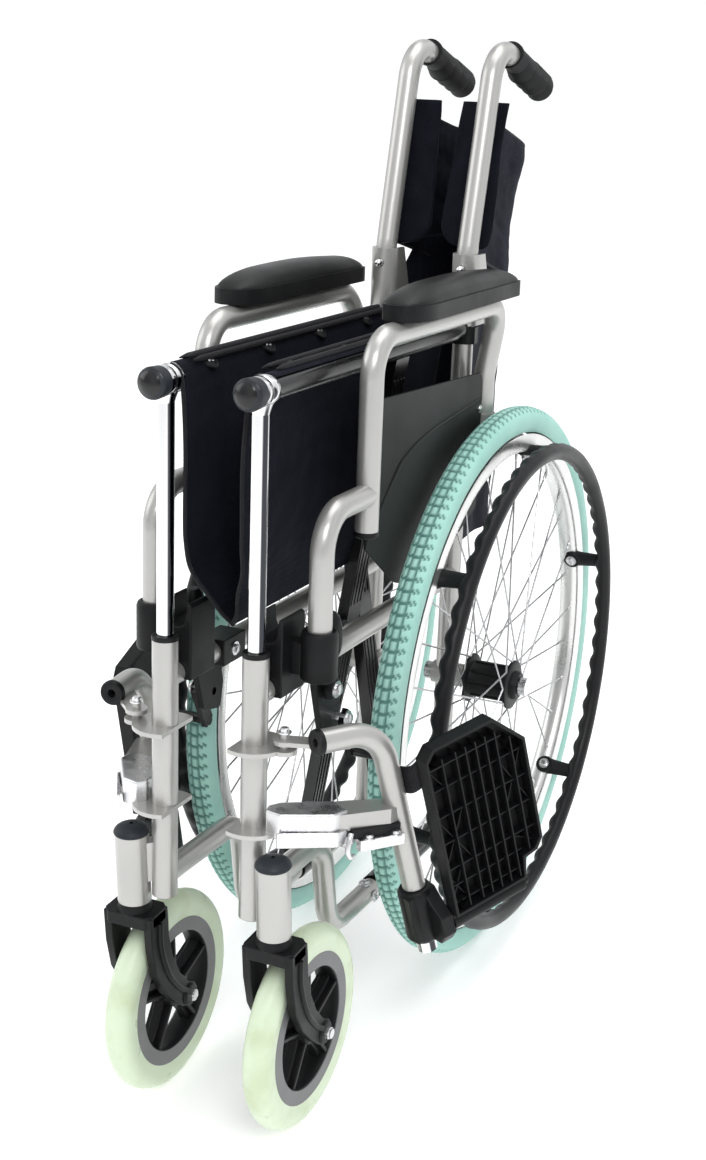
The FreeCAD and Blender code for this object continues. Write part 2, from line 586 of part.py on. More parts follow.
def back_half(low, high, axis_at, start, slant):
    """Half of the back cloth, between two heights, folding rearward about an upright or leaning line."""
    turn = math.radians(BACK_DEG)
    rear = Vector(-math.sin(turn), math.cos(turn), 0)
    side = Vector(math.cos(turn), math.sin(turn), 0)
    pts = [rear * start - side * 1.1, rear * start + side * 1.1,
           rear * (SLING_HALF - 52) + side * 1.1, rear * (SLING_HALF - 52) - side * 1.1]
    panel = Part.Face(Part.makePolygon(pts + pts[:1])).extrude(Vector(0, 0, high - low))
    panel.rotate(ORIGIN, X_AXIS, -slant)
    panel.translate(Vector(FRAME_X, axis_at, low))
    return panel


def build():
    """Fills NODES with the whole chair."""
    add_pair("side_frame", side_frame())
    add_pair("frame_caps", *frame_caps())
    add_pair("saddle", lean(saddle()))
    add_pair("axle_bolt", axle_bolt())
    add_pair("brake_bracket", lean(brake_bracket()))
    add_pair("brake_lever", lean(brake_lever()))
    add_pair("brake_shoe", lean(brake_shoe()))
    add_pair("caster_fork", caster_fork())
    core, caster_tyre = caster_wheel()
    add_pair("caster_core", core)
    add_pair("caster_tyre", caster_tyre)
    tyre, rim, spokes, hub, handrim = rear_wheel()
    add_pair("rear_tyre", tyre)
    add_pair("rear_rim", rim)
    add_pair("rear_spokes", *spokes)
    add_pair("rear_hub", hub)
    add_pair("handrim", handrim)
    add_pair("back_cane", lean(back_cane()))
    add_pair("push_grip", lean(push_grip()))
    add_pair("snap_button", lean(snap_button()))
    add_pair("armrest_tube", lean(armrest_tube()))
    add_pair("arm_pad", *[lean(s) for s in arm_pad()])
    add_pair("side_panel", lean(side_panel()))
    add_pair("seat_post", *[lean(s) for s in seat_post()])
    add_pair("seat_half", lean(seat_half()))
    add_pair("back_half", lean(back_half(CANE_BEND_Z + 4, 905, cane_point(CANE_BEND_Z + 4), 13, CANE_LEAN_DEG)))
    add_pair("back_flap", lean(back_half(445, 716, 0, 66, 0)))
    rests = {"hanger": [hanger()], "hanger_latch": [hanger_latch()], "foot_tube": list(foot_tube()),
             "footplate": [footplate()]}
    for name, shapes in rests.items():
        add(name + "_left", *[lean(swung(s, SWING_LEFT)) for s in shapes])
        add(name + "_right", *[lean(swung(s, SWING_RIGHT)).mirror(ORIGIN, X_AXIS) for s in shapes])
    left_bar, right_bar = cross_bars()
    add("cross_bar_left", lean(left_bar))
    add("cross_bar_right", lean(right_bar))



def centred():
    """The shift that puts the origin on the floor under the middle of the chair's box."""
    boxes = [s.optimalBoundingBox(False) for s in NODES.values()]
    return Vector(-(min(b.XMin for b in boxes) + max(b.XMax for b in boxes)) / 2,
                  -(min(b.YMin for b in boxes) + max(b.YMax for b in boxes)) / 2,
                  -min(b.ZMin for b in boxes))


build()
SHIFT = centred()
os.makedirs("parts", exist_ok=True)
for name, shape in NODES.items():
    shape.translate(SHIFT)
    shape.exportStep("parts/%s.step" % name)
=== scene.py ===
from math import atan2, copysign, cos, exp, pi, radians, sin, sqrt, tan

import bmesh
import bpy
from mathutils import Euler, Matrix, Vector, noise


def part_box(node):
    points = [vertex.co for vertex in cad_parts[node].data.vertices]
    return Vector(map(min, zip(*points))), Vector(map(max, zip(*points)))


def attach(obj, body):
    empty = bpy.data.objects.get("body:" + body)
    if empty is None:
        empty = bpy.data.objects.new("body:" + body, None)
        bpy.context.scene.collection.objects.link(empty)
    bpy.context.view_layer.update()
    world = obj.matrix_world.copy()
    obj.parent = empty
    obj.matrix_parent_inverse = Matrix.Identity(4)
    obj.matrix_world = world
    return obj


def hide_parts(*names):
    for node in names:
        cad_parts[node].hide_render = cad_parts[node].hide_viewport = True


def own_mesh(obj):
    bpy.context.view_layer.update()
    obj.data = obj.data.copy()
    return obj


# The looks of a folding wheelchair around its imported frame.
# Pieces are drawn for the left side (+X) in the chair's own level millimetres: x from the middle between the
# side frames, y from the rear axle, z from the floor. LEVEL tips them back as the frame is; UPRIGHT doesn't,
# and is used for the wheels. The right side is the mirror image.

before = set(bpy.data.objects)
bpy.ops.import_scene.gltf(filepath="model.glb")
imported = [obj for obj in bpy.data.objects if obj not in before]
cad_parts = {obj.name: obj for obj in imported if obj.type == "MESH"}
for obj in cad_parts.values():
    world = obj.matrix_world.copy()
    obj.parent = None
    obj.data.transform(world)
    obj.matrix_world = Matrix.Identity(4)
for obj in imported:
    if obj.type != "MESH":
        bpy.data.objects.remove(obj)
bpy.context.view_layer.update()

SIDES = {"left": 1, "right": -1}
MIRROR = {side: Matrix.Scale(sign, 4, (1, 0, 0)) for side, sign in SIDES.items()}


# ---- where things are ----
def placed(point, angle=0.0, axis="X"):
    """Turns what is drawn at the origin about an axis, in radians, and moves it to point."""
    return Matrix.Translation(point) @ Matrix.Rotation(angle, 4, axis)


def middle(node):
    low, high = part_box(node)
    return (low + high) / 2


HUB_LEFT, HUB_RIGHT = middle("rear_hub_left"), middle("rear_hub_right")
AXLE = Vector(((HUB_LEFT.x + HUB_RIGHT.x) / 2, HUB_LEFT.y, HUB_LEFT.z))
AXLE_Z = AXLE.z * 1000
WHEEL_X = (HUB_LEFT.x - HUB_RIGHT.x) / 2 * 1000 - 1
LEAN = radians(4.0)
MM = Matrix.Scale(0.001, 4)
UPRIGHT = Matrix.Translation((AXLE.x, AXLE.y, 0)) @ MM
LEVEL = placed(AXLE, -LEAN) @ Matrix.Translation((0, 0, -AXLE.z)) @ MM

FRAME_X = 46.0  # the posts and uprights
POST_Y = -448.5  # the front post
SEAT_Z = 687.0  # the seat tubes
CANE_LEAN = radians(13.4)
CANE_BEND_Z = 765.0  # where the canes start to lean back
ARM_X = 85.0
PAD_X = 87.5
PIN = Vector((76.0, -449.0, 0))  # the hanger's swing axis
SWING = {"left": 148.0, "right": 173.0}  # each hanger's heading about PIN, in degrees
FOOT_LEAN = radians(15.7)
FOOT_H = 181.0  # the foot tube, across its plane
HANGER_E = 31.0  # the foot tube, out of the hanger's plane
OPEN_TILT = radians(42.6)  # what a seat tube turns by as the chair opens
LOW_Z = 116.0  # the cross bars' lower pivots
FRONT_BAR_Y, REAR_BAR_Y = -165.0, -131.0
CASTER = Vector((74.0, -463.0, 100.0))
CASTER_TRAIL = 50.0


class Paint:
    """A Principled material with a few texture nodes. Its slot argument is not used."""

    def __init__(self, name, colour, rough, metallic=0.0, slot=None, **sockets):
        self.material = bpy.data.materials.new(name)
        self.material.use_nodes = True
        self.tree = self.material.node_tree
        self.shader = self.tree.nodes["Principled BSDF"]
        self.set("Base Color", (*colour, 1))
        self.set("Roughness", rough)
        self.set("Metallic", metallic)
        for socket, value in sockets.items():
            self.set(socket.replace("_", " "), value)
        self.colour = colour
        self.coordinates = self.node("ShaderNodeTexCoord").outputs["Object"]
        self.normal = None

    def set(self, socket, value):
        self.shader.inputs[socket].default_value = value

    def node(self, kind, **values):
        made = self.tree.nodes.new(kind)
        for key, value in values.items():
            if key in made.inputs:
                made.inputs[key].default_value = value
            else:
                setattr(made, key, value)
        return made

    def link(self, source, target):
        self.tree.links.new(source, target)

    def noise(self, scale, detail=3.0, stretch=(1, 1, 1)):
        """Noise over the object, finer with a larger scale, pulled out along an axis by a small stretch."""
        mapping = self.node("ShaderNodeMapping")
        mapping.inputs["Scale"].default_value = stretch
        texture = self.node("ShaderNodeTexNoise", Scale=scale, Detail=detail)
        self.link(self.coordinates, mapping.inputs["Vector"])
        self.link(mapping.outputs["Vector"], texture.inputs["Vector"])
        return texture.outputs["Fac"]

    def ramp(self, source, low, high, between=(0.3, 0.7)):
        """Turns a 0 to 1 texture into values or colours between low and high."""
        ramp = self.node("ShaderNodeValToRGB")
        for stop, place, value in zip(ramp.color_ramp.elements, between, (low, high)):
            stop.position = place
            stop.color = (*value, 1) if isinstance(value, tuple) else (value, value, value, 1)
        self.link(source, ramp.inputs["Fac"])
        return ramp.outputs["Color"]

    def mottle(self, scale, dark, detail=4.0, between=(0.35, 0.65)):
        """Colour that wanders from the base colour to a darker or dirtier one."""
        shade = tuple(c * d for c, d in zip(self.colour, dark))
        worn = self.ramp(self.noise(scale, detail), shade, self.colour, between)
        self.link(worn, self.shader.inputs["Base Color"])
        return self

    def uneven(self, scale, low, high, stretch=(1, 1, 1)):
        """Roughness that wanders between two values."""
        self.link(self.ramp(self.noise(scale, 5.0, stretch), low, high), self.shader.inputs["Roughness"])
        return self

    def bump(self, source, strength, height):
        """Adds one layer of bump, height in metres."""
        bump = self.node("ShaderNodeBump", Strength=strength, Distance=height)
        self.link(source, bump.inputs["Height"])
        if self.normal:
            self.link(self.normal, bump.inputs["Normal"])
        self.normal = bump.outputs["Normal"]
        self.link(self.normal, self.shader.inputs["Normal"])
        return self

    def speckle(self, scale, detail, strength, height, stretch=(1, 1, 1)):
        """One layer of bump from noise."""
        return self.bump(self.noise(scale, detail, stretch), strength, height)

    def grain(self, scale, strength, height):
        """Cell-like grain, as on vinyl and moulded plastic."""
        cells = self.node("ShaderNodeTexVoronoi", Scale=scale)
        self.link(self.coordinates, cells.inputs["Vector"])
        return self.bump(cells.outputs["Distance"], strength, height)

    def weave(self, pitch, strength, height):
        """Over-and-under threads across all three directions."""
        total = None
        for axis in ("X", "Y", "Z"):
            wave = self.node("ShaderNodeTexWave", Scale=1 / pitch / 6.28, bands_direction=axis,
                             Distortion=0.4)
            self.link(self.coordinates, wave.inputs["Vector"])
            if total is None:
                total = wave.outputs["Fac"]
                continue
            mix = self.node("ShaderNodeMath", operation="MULTIPLY")
            self.link(total, mix.inputs[0])
            self.link(wave.outputs["Fac"], mix.inputs[1])
            total = mix.outputs[0]
        return self.bump(total, strength, height)


def chrome():
    """Bright plating with a painted reflection: its colour is painted dark in stripes along the sides away from
    the light, as when it mirrors a room.
    """
    paint = Paint("chrome", (0.86, 0.86, 0.87), 0.09, 1.0)
    facing = paint.node("ShaderNodeTexCoord").outputs["Normal"]
    shade = paint.colour
    # painted reflection: for each of two fixed directions, a near-black stripe is painted into the colour where
    # the surface faces that way
    for direction, between in (((0.91, -0.41, 0), (0.90, 0.955)), ((-0.88, -0.47, 0), (0.94, 0.985))):
        turned = paint.node("ShaderNodeVectorMath", operation="DOT_PRODUCT")
        paint.link(facing, turned.inputs[0])
        turned.inputs[1].default_value = direction
        painted_reflection_stripe = paint.ramp(turned.outputs["Value"], (1.0, 1.0, 1.0), (0.06, 0.062, 0.07), between)
        mix = paint.node("ShaderNodeMixRGB", blend_type="MULTIPLY", Fac=1.0)
        if isinstance(shade, tuple):
            mix.inputs["Color1"].default_value = (*shade, 1)
        else:
            paint.link(shade, mix.inputs["Color1"])
        paint.link(painted_reflection_stripe, mix.inputs["Color2"])
        shade = mix.outputs["Color"]
    paint.link(shade, paint.shader.inputs["Base Color"])
    return paint.uneven(30, 0.05, 0.14, (1, 1, 0.2)).material


def moulded_black(name="black_plastic", rough=0.42, colour=(0.0075, 0.0078, 0.0085), slot=None):
    paint = Paint(name, colour, rough, slot=slot, Specular_IOR_Level=0.20)
    paint.mottle(14, (0.75, 0.75, 0.78))
    return paint.grain(1400, 0.22, 0.0003).uneven(18, rough - 0.08, rough + 0.10).material


def mint_tyre():
    paint = Paint("rear_tread", (0.40, 0.68, 0.60), 0.55, Specular_IOR_Level=0.3)
    worn = paint.ramp(paint.noise(16, 6.0), (0.34, 0.62, 0.55), paint.colour, (0.35, 0.65))
    # painted shade: the tread's grooves are painted a dark green where their shade falls, by the groove mask on
    # the tyre's points
    painted_groove_shade = paint.node("ShaderNodeAttribute", attribute_name="painted_groove_shade")
    shade = paint.node("ShaderNodeMixRGB", blend_type="MIX")
    paint.link(painted_groove_shade.outputs["Fac"], shade.inputs["Fac"])
    paint.link(worn, shade.inputs["Color1"])
    # the colour of the painted shade in the grooves
    shade.inputs["Color2"].default_value = (0.10, 0.24, 0.21, 1)
    paint.link(shade.outputs["Color"], paint.shader.inputs["Base Color"])
    return paint.speckle(420, 4.0, 0.2, 0.0004).uneven(22, 0.48, 0.66).material


def pale_tyre():
    paint = Paint("front_tread", (0.62, 0.72, 0.54), 0.34, Subsurface_Weight=0.10, Subsurface_Scale=0.004)
    paint.set("Subsurface Radius", (1.0, 1.0, 0.6))
    paint.mottle(26, (0.86, 0.86, 0.78), 7.0, (0.30, 0.52))
    return paint.speckle(260, 4.0, 0.12, 0.0004).uneven(30, 0.26, 0.46).material


def nylon():
    paint = Paint("nylon", (0.0048, 0.0052, 0.0100), 0.85, Specular_IOR_Level=0.12, Sheen_Weight=0.05)
    paint.set("Sheen Roughness", 0.4)
    paint.set("Sheen Tint", (0.5, 0.55, 0.8, 1))
    paint.mottle(35, (0.60, 0.60, 0.66), 6.0)
    return paint.weave(0.0011, 0.55, 0.0006).speckle(70, 4.0, 0.25, 0.003).material


SILVER = (Paint("frame_paint", (0.47, 0.465, 0.45), 0.33, 0.65, Coat_Weight=0.3, Coat_Roughness=0.15)
          .mottle(9, (0.93, 0.93, 0.93)).speckle(900, 2.0, 0.08, 0.0003).material)
# chrome whose colour carries the painted reflection stripes
PAINTED_REFLECTION_CHROME = chrome()
ZINC = (Paint("zinc", (0.70, 0.70, 0.71), 0.28, 1.0)
        .uneven(60, 0.18, 0.42).speckle(500, 3.0, 0.15, 0.0002).material)
ALLOY = (Paint("rim_alloy", (0.74, 0.74, 0.73), 0.30, 0.9)
         .uneven(25, 0.22, 0.36).speckle(350, 2.0, 0.1, 0.0002, (0.1, 1, 1)).material)
WIRE = Paint("spoke_steel", (0.42, 0.42, 0.43), 0.25, 1.0).uneven(40, 0.18, 0.35).material
BLACK = moulded_black()
CAP_GREY = moulded_black("cap_plastic", 0.38, (0.026, 0.030, 0.036), "black_plastic")
RING_BLACK = moulded_black("handrim_black", 0.34, (0.012, 0.012, 0.013))
GLOSS = (Paint("black_paint", (0.006, 0.006, 0.007), 0.20, Specular_IOR_Level=0.45)
         .mottle(12, (0.8, 0.8, 0.8)).uneven(20, 0.14, 0.28).speckle(160, 2.0, 0.05, 0.0006).material)
RUBBER = (Paint("grip_rubber", (0.010, 0.010, 0.011), 0.60, Specular_IOR_Level=0.20)
          .mottle(30, (0.7, 0.7, 0.7)).grain(1700, 0.35, 0.0004).material)
VINYL = (Paint("pad_vinyl", (0.011, 0.0115, 0.0118), 0.36, Specular_IOR_Level=0.22)
         .mottle(12, (0.8, 0.8, 0.8)).grain(620, 0.30, 0.0006).speckle(45, 3.0, 0.12, 0.002)
         .uneven(16, 0.30, 0.46).material)
MINT, PALE, NYLON = mint_tyre(), pale_tyre(), nylon()
CORE_GREY = Paint("core_ring", (0.16, 0.16, 0.165), 0.5, slot="black_plastic").uneven(30, 0.42, 0.58).material
WEBBING = (Paint("webbing", (0.009, 0.009, 0.012), 0.7, slot="nylon",
                 Specular_IOR_Level=0.2, Sheen_Weight=0.05)
           .mottle(40, (0.75, 0.75, 0.75)).weave(0.0016, 0.6, 0.0008).material)
GUARD = (Paint("guard_plastic", (0.014, 0.016, 0.015), 0.50, Specular_IOR_Level=0.16)
         .mottle(10, (0.85, 0.85, 0.85)).grain(1100, 0.25, 0.0003).uneven(12, 0.40, 0.54).material)


# ---- mesh tools: each returns (points, faces) ----
def merged(*parts):
    """One mesh from several."""
    points, faces = [], []
    for part_points, part_faces in parts:
        start = len(points)
        points += part_points
        faces += [tuple(start + i for i in face) for face in part_faces]
    return points, faces


def moved(part, matrix):
    return [matrix @ Vector(p) for p in part[0]], part[1]


def net(rows, close_rows=False, close_columns=False):
    """Quads over rows of points."""
    count, width = len(rows), len(rows[0])
    faces = []
    for i in range(count if close_rows else count - 1):
        for j in range(width if close_columns else width - 1):
            a, b = i, (i + 1) % count
            c, d = j, (j + 1) % width
            faces.append((a * width + c, b * width + c, b * width + d, a * width + d))
    return [p for row in rows for p in row], faces


def angles(count):
    """Equal angles round a circle."""
    return [2 * pi * i / count for i in range(count)]


def steps(count):
    """0 to 1 in count steps."""
    return [i / count for i in range(count + 1)]


def lathe(outline, centre, turns=64, axis="X", closed=True):
    """An outline of (along, radius) points turned round an axis through centre."""
    rows = []
    for angle in angles(turns):
        s, c = sin(angle), cos(angle)
        if axis == "X":
            rows.append([Vector(centre) + Vector((a, r * s, r * c)) for a, r in outline])
        else:
            rows.append([Vector(centre) + Vector((r * s, r * c, a)) for a, r in outline])
    return net(rows, True, closed)


def tube(path, radius, sides=16, capped=True, flat=1.0, up=Vector((1, 0, 0))):
    """A tube along a path. radius is a number or a list, and flat squeezes it along up."""
    path = [Vector(p) for p in path]
    radii = radius if isinstance(radius, (list, tuple)) else [radius] * len(path)
    rows = []
    for i, point in enumerate(path):
        along = (path[min(i + 1, len(path) - 1)] - path[max(i - 1, 0)]).normalized()
        across = along.cross(up)
        across = across.normalized() if across.length > 1e-4 else along.orthogonal().normalized()
        rise = across.cross(along).normalized()
        rows.append([point + across * radii[i] * cos(angle) + rise * radii[i] * flat * sin(angle)
                     for angle in angles(sides)])
    points, faces = net(rows, False, True)
    if capped:
        faces += [tuple(range(sides)), tuple(reversed(range(len(points) - sides, len(points))))]
    return points, faces


def smooth_path(points, count=8):
    """A Catmull-Rom curve through the points, with count steps from each to the next."""
    pts = [Vector(p) for p in points]
    pts = [pts[0] * 2 - pts[1]] + pts + [pts[-1] * 2 - pts[-2]]
    out = []
    for i in range(1, len(pts) - 2):
        for t in steps(count)[:-1]:
            a, b, c, d = pts[i - 1:i + 3]
            out.append(0.5 * (2 * b + (c - a) * t + (2 * a - 5 * b + 4 * c - d) * t * t
                              + (3 * b - a - 3 * c + d) * t ** 3))
    return out + [pts[-2]]


def between(low, high):
    """A solid between two outlines with as many points."""
    n = len(low)
    walls = [(i, n + i, n + (i + 1) % n, (i + 1) % n) for i in range(n)]
    return low + high, [tuple(range(n)), tuple(reversed(range(n, 2 * n)))] + walls


def prism(outline, low, high, axis="X"):
    """An outline between two levels; its points are the other two coordinates in X, Y, Z order."""
    def at(level):
        return [Vector({"X": (level, a, b), "Y": (a, level, b), "Z": (a, b, level)}[axis])
                for a, b in outline]

    return between(at(low), at(high))


def block(x, y, z):
    return prism([(y[0], z[0]), (y[1], z[0]), (y[1], z[1]), (y[0], z[1])], x[0], x[1])


def bolt(point, direction, radius=5.0, height=4.0, hexagon=True):
    """A bolt head with its washer, standing on point."""
    turn = Vector(direction).to_track_quat("Z", "Y").to_matrix().to_4x4()
    washer = lathe([(0, 0.2), (0, radius * 1.5), (1.2, radius * 1.5), (1.2, 0.2)], (0, 0, 0), 20, "Z", False)
    sides = 6 if hexagon else 20
    dome = [(1.2, radius), (height * 0.8, radius), (height, radius * 0.75), (height, 0.2)]
    head = lathe(dome, (0, 0, 0), sides, "Z", False)
    return moved(merged(washer, head), Matrix.Translation(point) @ turn)


def bevelled(thing, width, segments, angle):
    """Rounds the edges sharper than angle. The width is in millimetres."""
    edge = thing.modifiers.new("bevel", "BEVEL")
    edge.width, edge.segments, edge.limit_method = width / 1000, segments, "ANGLE"
    edge.angle_limit = radians(angle)
    return edge


def add(name, data):
    """A new object in the scene."""
    thing = bpy.data.objects.new(name, data)
    bpy.context.scene.collection.objects.link(thing)
    return thing


def piece(name, side, part, material, body, space=LEVEL, bevel=0.0, thick=0.0, subdivide=0, sharp=40,
          replaces=""):
    """Makes a side's mesh an object that rides on a body, and may stand for a CAD node.

    The name, the node and the body are given without their side, but a cross bar's body with it.
    Bevel and thickness are in millimetres."""
    name = f"{name}_{side}"
    mesh = bpy.data.meshes.new(name)
    mesh.from_pydata([MIRROR[side] @ p for p in part[0]], [], part[1])
    mesh.transform(space)
    work = bmesh.new()
    work.from_mesh(mesh)
    bmesh.ops.recalc_face_normals(work, faces=work.faces)
    work.to_mesh(mesh)
    work.free()
    mesh.shade_smooth()
    mesh.set_sharp_from_angle(angle=radians(sharp))
    thing = add(name, mesh)
    if bevel:
        bevelled(thing, bevel, 3, 35).harden_normals = True
    if thick:
        shell = thing.modifiers.new("shell", "SOLIDIFY")
        shell.thickness, shell.offset = thick / 1000, 0
    if subdivide:
        smooth = thing.modifiers.new("smooth", "SUBSURF")
        smooth.levels = smooth.render_levels = subdivide
    thing.data.materials.append(material)
    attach(thing, body if body.startswith("cross_bar") else f"{side}_{body}")
    if replaces:
        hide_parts(f"{replaces}_{side}")
    return thing


def finish_node(node, side, material, bevel=0.0):
    """Gives a kept CAD node its material, and a small bevel where its edges need one."""
    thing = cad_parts[f"{node}_{side}"]
    thing.data.materials.clear()
    thing.data.materials.append(material)
    if bevel:
        bevelled(thing, bevel, 2, 50)


# ---- rear wheels ----
WHEEL = Vector((WHEEL_X, 0, AXLE_Z))
TREAD_ROWS = 158
TREAD_DEPTH = 1.7
TREAD_HALF = radians(62)  # round the tyre's section, from its middle to the end of the outer blocks
TYRE_STEPS = TREAD_ROWS * 7
TYRE_SECTION = [radians(-128 + 256 * j / 29) for j in range(30)]


def tread_height(turn, across):
    """0 on the blocks and 1 in the grooves: three rows of staggered slanted blocks."""
    out = abs(across)
    if out > 0.86:
        return 0.0
    phase = (turn * TREAD_ROWS + (0.5 if 0.2 <= out < 0.55 else 0) + out * 1.2) % 1
    return 1.0 if phase < 0.26 or any(abs(out - edge) < 0.045 for edge in (0.2, 0.55)) else 0.0


def groove_shade_mask():
    """How deep in a groove each point of tyre_mesh lies, in its order: the mask for the shade painted into the
    tread's grooves.
    """
    return [tread_height(i / TYRE_STEPS, phi / TREAD_HALF) for i in range(TYRE_STEPS) for phi in TYRE_SECTION]


def tyre_mesh():
    rows = []
    for i in range(TYRE_STEPS):
        turn = i / TYRE_STEPS
        angle = 2 * pi * turn
        row = []
        for phi in TYRE_SECTION:
            x = 14 * copysign(abs(sin(phi)) ** 0.85, phi)
            r = 287 + 16 * copysign(abs(cos(phi)) ** 0.8, cos(phi))
            r = max(r - TREAD_DEPTH * tread_height(turn, phi / TREAD_HALF), 273.0)
            row.append(WHEEL + Vector((x, r * sin(angle), r * cos(angle))))
        rows.append(row)
    return net(rows, True, False)


def rim_mesh():
    outline = [(-12.5, 274.5), (-12.8, 272), (-12.2, 262), (-11.4, 258), (-9, 255), (-4, 253.4), (4, 253.4),
               (9, 255), (11.4, 258), (12.2, 262), (12.8, 272), (12.5, 274.5), (9.5, 273), (9.5, 266),
               (-9.5, 266), (-9.5, 273)]
    return lathe(outline, WHEEL, 180)


SPOKES = 36
HANDRIM_X = 144


def spoke_ends(i):
    """Where spoke i leaves the hub flange, and where it meets the rim."""
    side = 1 if i % 2 else -1
    turn = 2 * pi * i / SPOKES
    cross = turn + radians(62 if (i // 2) % 2 else -62)
    inner = Vector((side * 24, 24 * sin(cross), 24 * cos(cross)))
    outer = Vector((side * 3, 255.5 * sin(turn), 255.5 * cos(turn)))
    return WHEEL + inner, WHEEL + outer


def spokes_mesh():
    return merged(*[tube(spoke_ends(i), 1.0, 8) for i in range(SPOKES)])


def nipples_mesh():
    parts = []
    for i in range(SPOKES):
        inner, outer = spoke_ends(i)
        along = (outer - inner).normalized()
        parts.append(tube([outer - along * 11, outer - along * 9, outer - along * 3, outer + along * 1.5],
                          [1.2, 1.7, 1.7, 2.6], 8))
        parts.append(tube([inner - along * 3, inner, inner + along * 2], [1.8, 1.9, 1.2], 8))
    return merged(*parts)


def hub_mesh():
    outline = [(-31, 6.2), (-31, 14), (-29, 15.5), (-27, 16), (-26.5, 25), (-25.5, 27), (-22.5, 27),
               (-21.5, 25), (-20, 20.5), (-17, 19.5), (17, 19.5), (20, 20.5), (21.5, 25), (22.5, 27),
               (25.5, 27), (26.5, 25), (27, 16), (31, 15.5), (33, 14), (33, 6.2)]
    shell = lathe(outline, WHEEL, 48)
    ribs = []
    for i in range(8):
        rib = block((-19, 19), (-1.6, 1.6), (18.5, 21.2))
        ribs.append(moved(rib, placed(WHEEL, pi * i / 4)))
    return merged(shell, *ribs)


def handrim_mesh():
    centre = Vector((HANDRIM_X, 0, AXLE_Z))
    ring, bumps = 259.0, 62
    rows = []
    for angle in angles(bumps * 12):
        ripple = 0.5 + 0.5 * cos(angle * bumps)
        row = []
        for psi in angles(20):
            inward = max(0.0, cos(psi - radians(280))) ** 0.6
            r = 9.0 - 3.4 * inward * (1 - ripple) ** 1.2 + 0.5 * inward
            radial = ring + r * cos(psi)
            row.append(centre + Vector((r * sin(psi), radial * sin(angle), radial * cos(angle))))
        rows.append(row)
    return net(rows, True, True)


def around_wheel(part, i):
    """Turns a part drawn above the axle to the place of tab i."""
    turn = radians(-(60 * i + 15))
    return moved(part, placed((0, 0, AXLE_Z), turn) @ Matrix.Translation((0, 0, -AXLE_Z)))


def tabs_mesh():
    arm = tube([(WHEEL_X + 9, 0, AXLE_Z + 257), (WHEEL_X + 16, 0, AXLE_Z + 257.5), (136, 0, AXLE_Z + 259),
                (146, 0, AXLE_Z + 259)], [10.5, 9.5, 8.5, 9.5], 16, True, 0.55, Vector((0, 0, 1)))
    foot = lathe([(250.5, 0.2), (250.5, 9), (252, 10.5), (259, 10.5), (259, 0.2)],
                 (WHEEL_X + 6, 0, AXLE_Z), 24, "Z", False)
    return merged(*[around_wheel(merged(arm, foot), i) for i in range(6)])


def tab_bolts_mesh():
    head = bolt((WHEEL_X + 6, 0, AXLE_Z + 250.5), (0, 0, -1), 4.2, 4.5, False)
    return merged(*[around_wheel(head, i) for i in range(6)])


def rear_wheel(side):
    tyre = piece("tyre", side, tyre_mesh(), MINT, "wheel", UPRIGHT, sharp=50, replaces="rear_tyre")
    # the groove mask that paints shade into the tread's grooves
    tyre.data.attributes.new("painted_groove_shade", "FLOAT", "POINT").data.foreach_set("value", groove_shade_mask())
    piece("rim", side, rim_mesh(), ALLOY, "wheel", UPRIGHT, replaces="rear_rim")
    piece("spokes", side, spokes_mesh(), WIRE, "wheel", UPRIGHT, replaces="rear_spokes")
    piece("nipples", side, nipples_mesh(), ZINC, "wheel", UPRIGHT)
    piece("hub", side, hub_mesh(), BLACK, "wheel", UPRIGHT, bevel=0.5, replaces="rear_hub")
    piece("hand_ring", side, handrim_mesh(), RING_BLACK, "wheel", UPRIGHT, replaces="handrim")
    piece("ring_tabs", side, tabs_mesh(), BLACK, "wheel", UPRIGHT)
    piece("tab_bolts", side, tab_bolts_mesh(), ZINC, "wheel", UPRIGHT)
    finish_node("axle_bolt", side, ZINC, 0.8)


# ---- casters ----
CASTER_HUB = CASTER + Vector((0, CASTER_TRAIL, 0))


def caster_tyre_mesh():
    section = [radians(-105 + 210 * i / 16) for i in range(17)]
    outline = [(14.0 * sin(a), 86 + 14 * cos(a)) for a in section]
    return lathe([(-12.2, 74.4)] + outline + [(12.2, 74.4)], CASTER_HUB, 96)


def caster_ring_mesh():
    return merged(*[lathe([(k * 12.4, 60.5), (k * 12.6, 74.5), (k * 9, 75.5), (k * 9, 60.5)], CASTER_HUB, 96)
                    for k in (1, -1)])


def caster_core_mesh():
    rim = lathe([(-11.5, 60), (-11.5, 63), (11.5, 63), (11.5, 60), (7, 58.5), (-7, 58.5)], CASTER_HUB, 96)
    hub = lathe([(-15, 5.3), (-15, 13), (-13, 16), (13, 16), (15, 13), (15, 5.3)], CASTER_HUB, 40)
    spokes = []
    for i in range(5):
        taper = [(-10, 12), (10, 12), (6.5, 30), (6.0, 45), (9, 60.5), (-9, 60.5), (-6.0, 45), (-6.5, 30)]
        web = prism(taper, -5, 5)
        rib = prism([(-2.2, 12), (2.2, 12), (2.2, 60), (-2.2, 60)], -11, 11)
        turn = placed(CASTER_HUB, 2 * pi * i / 5)
        spokes += [moved(web, turn), moved(rib, turn)]
    return merged(rim, hub, *spokes)


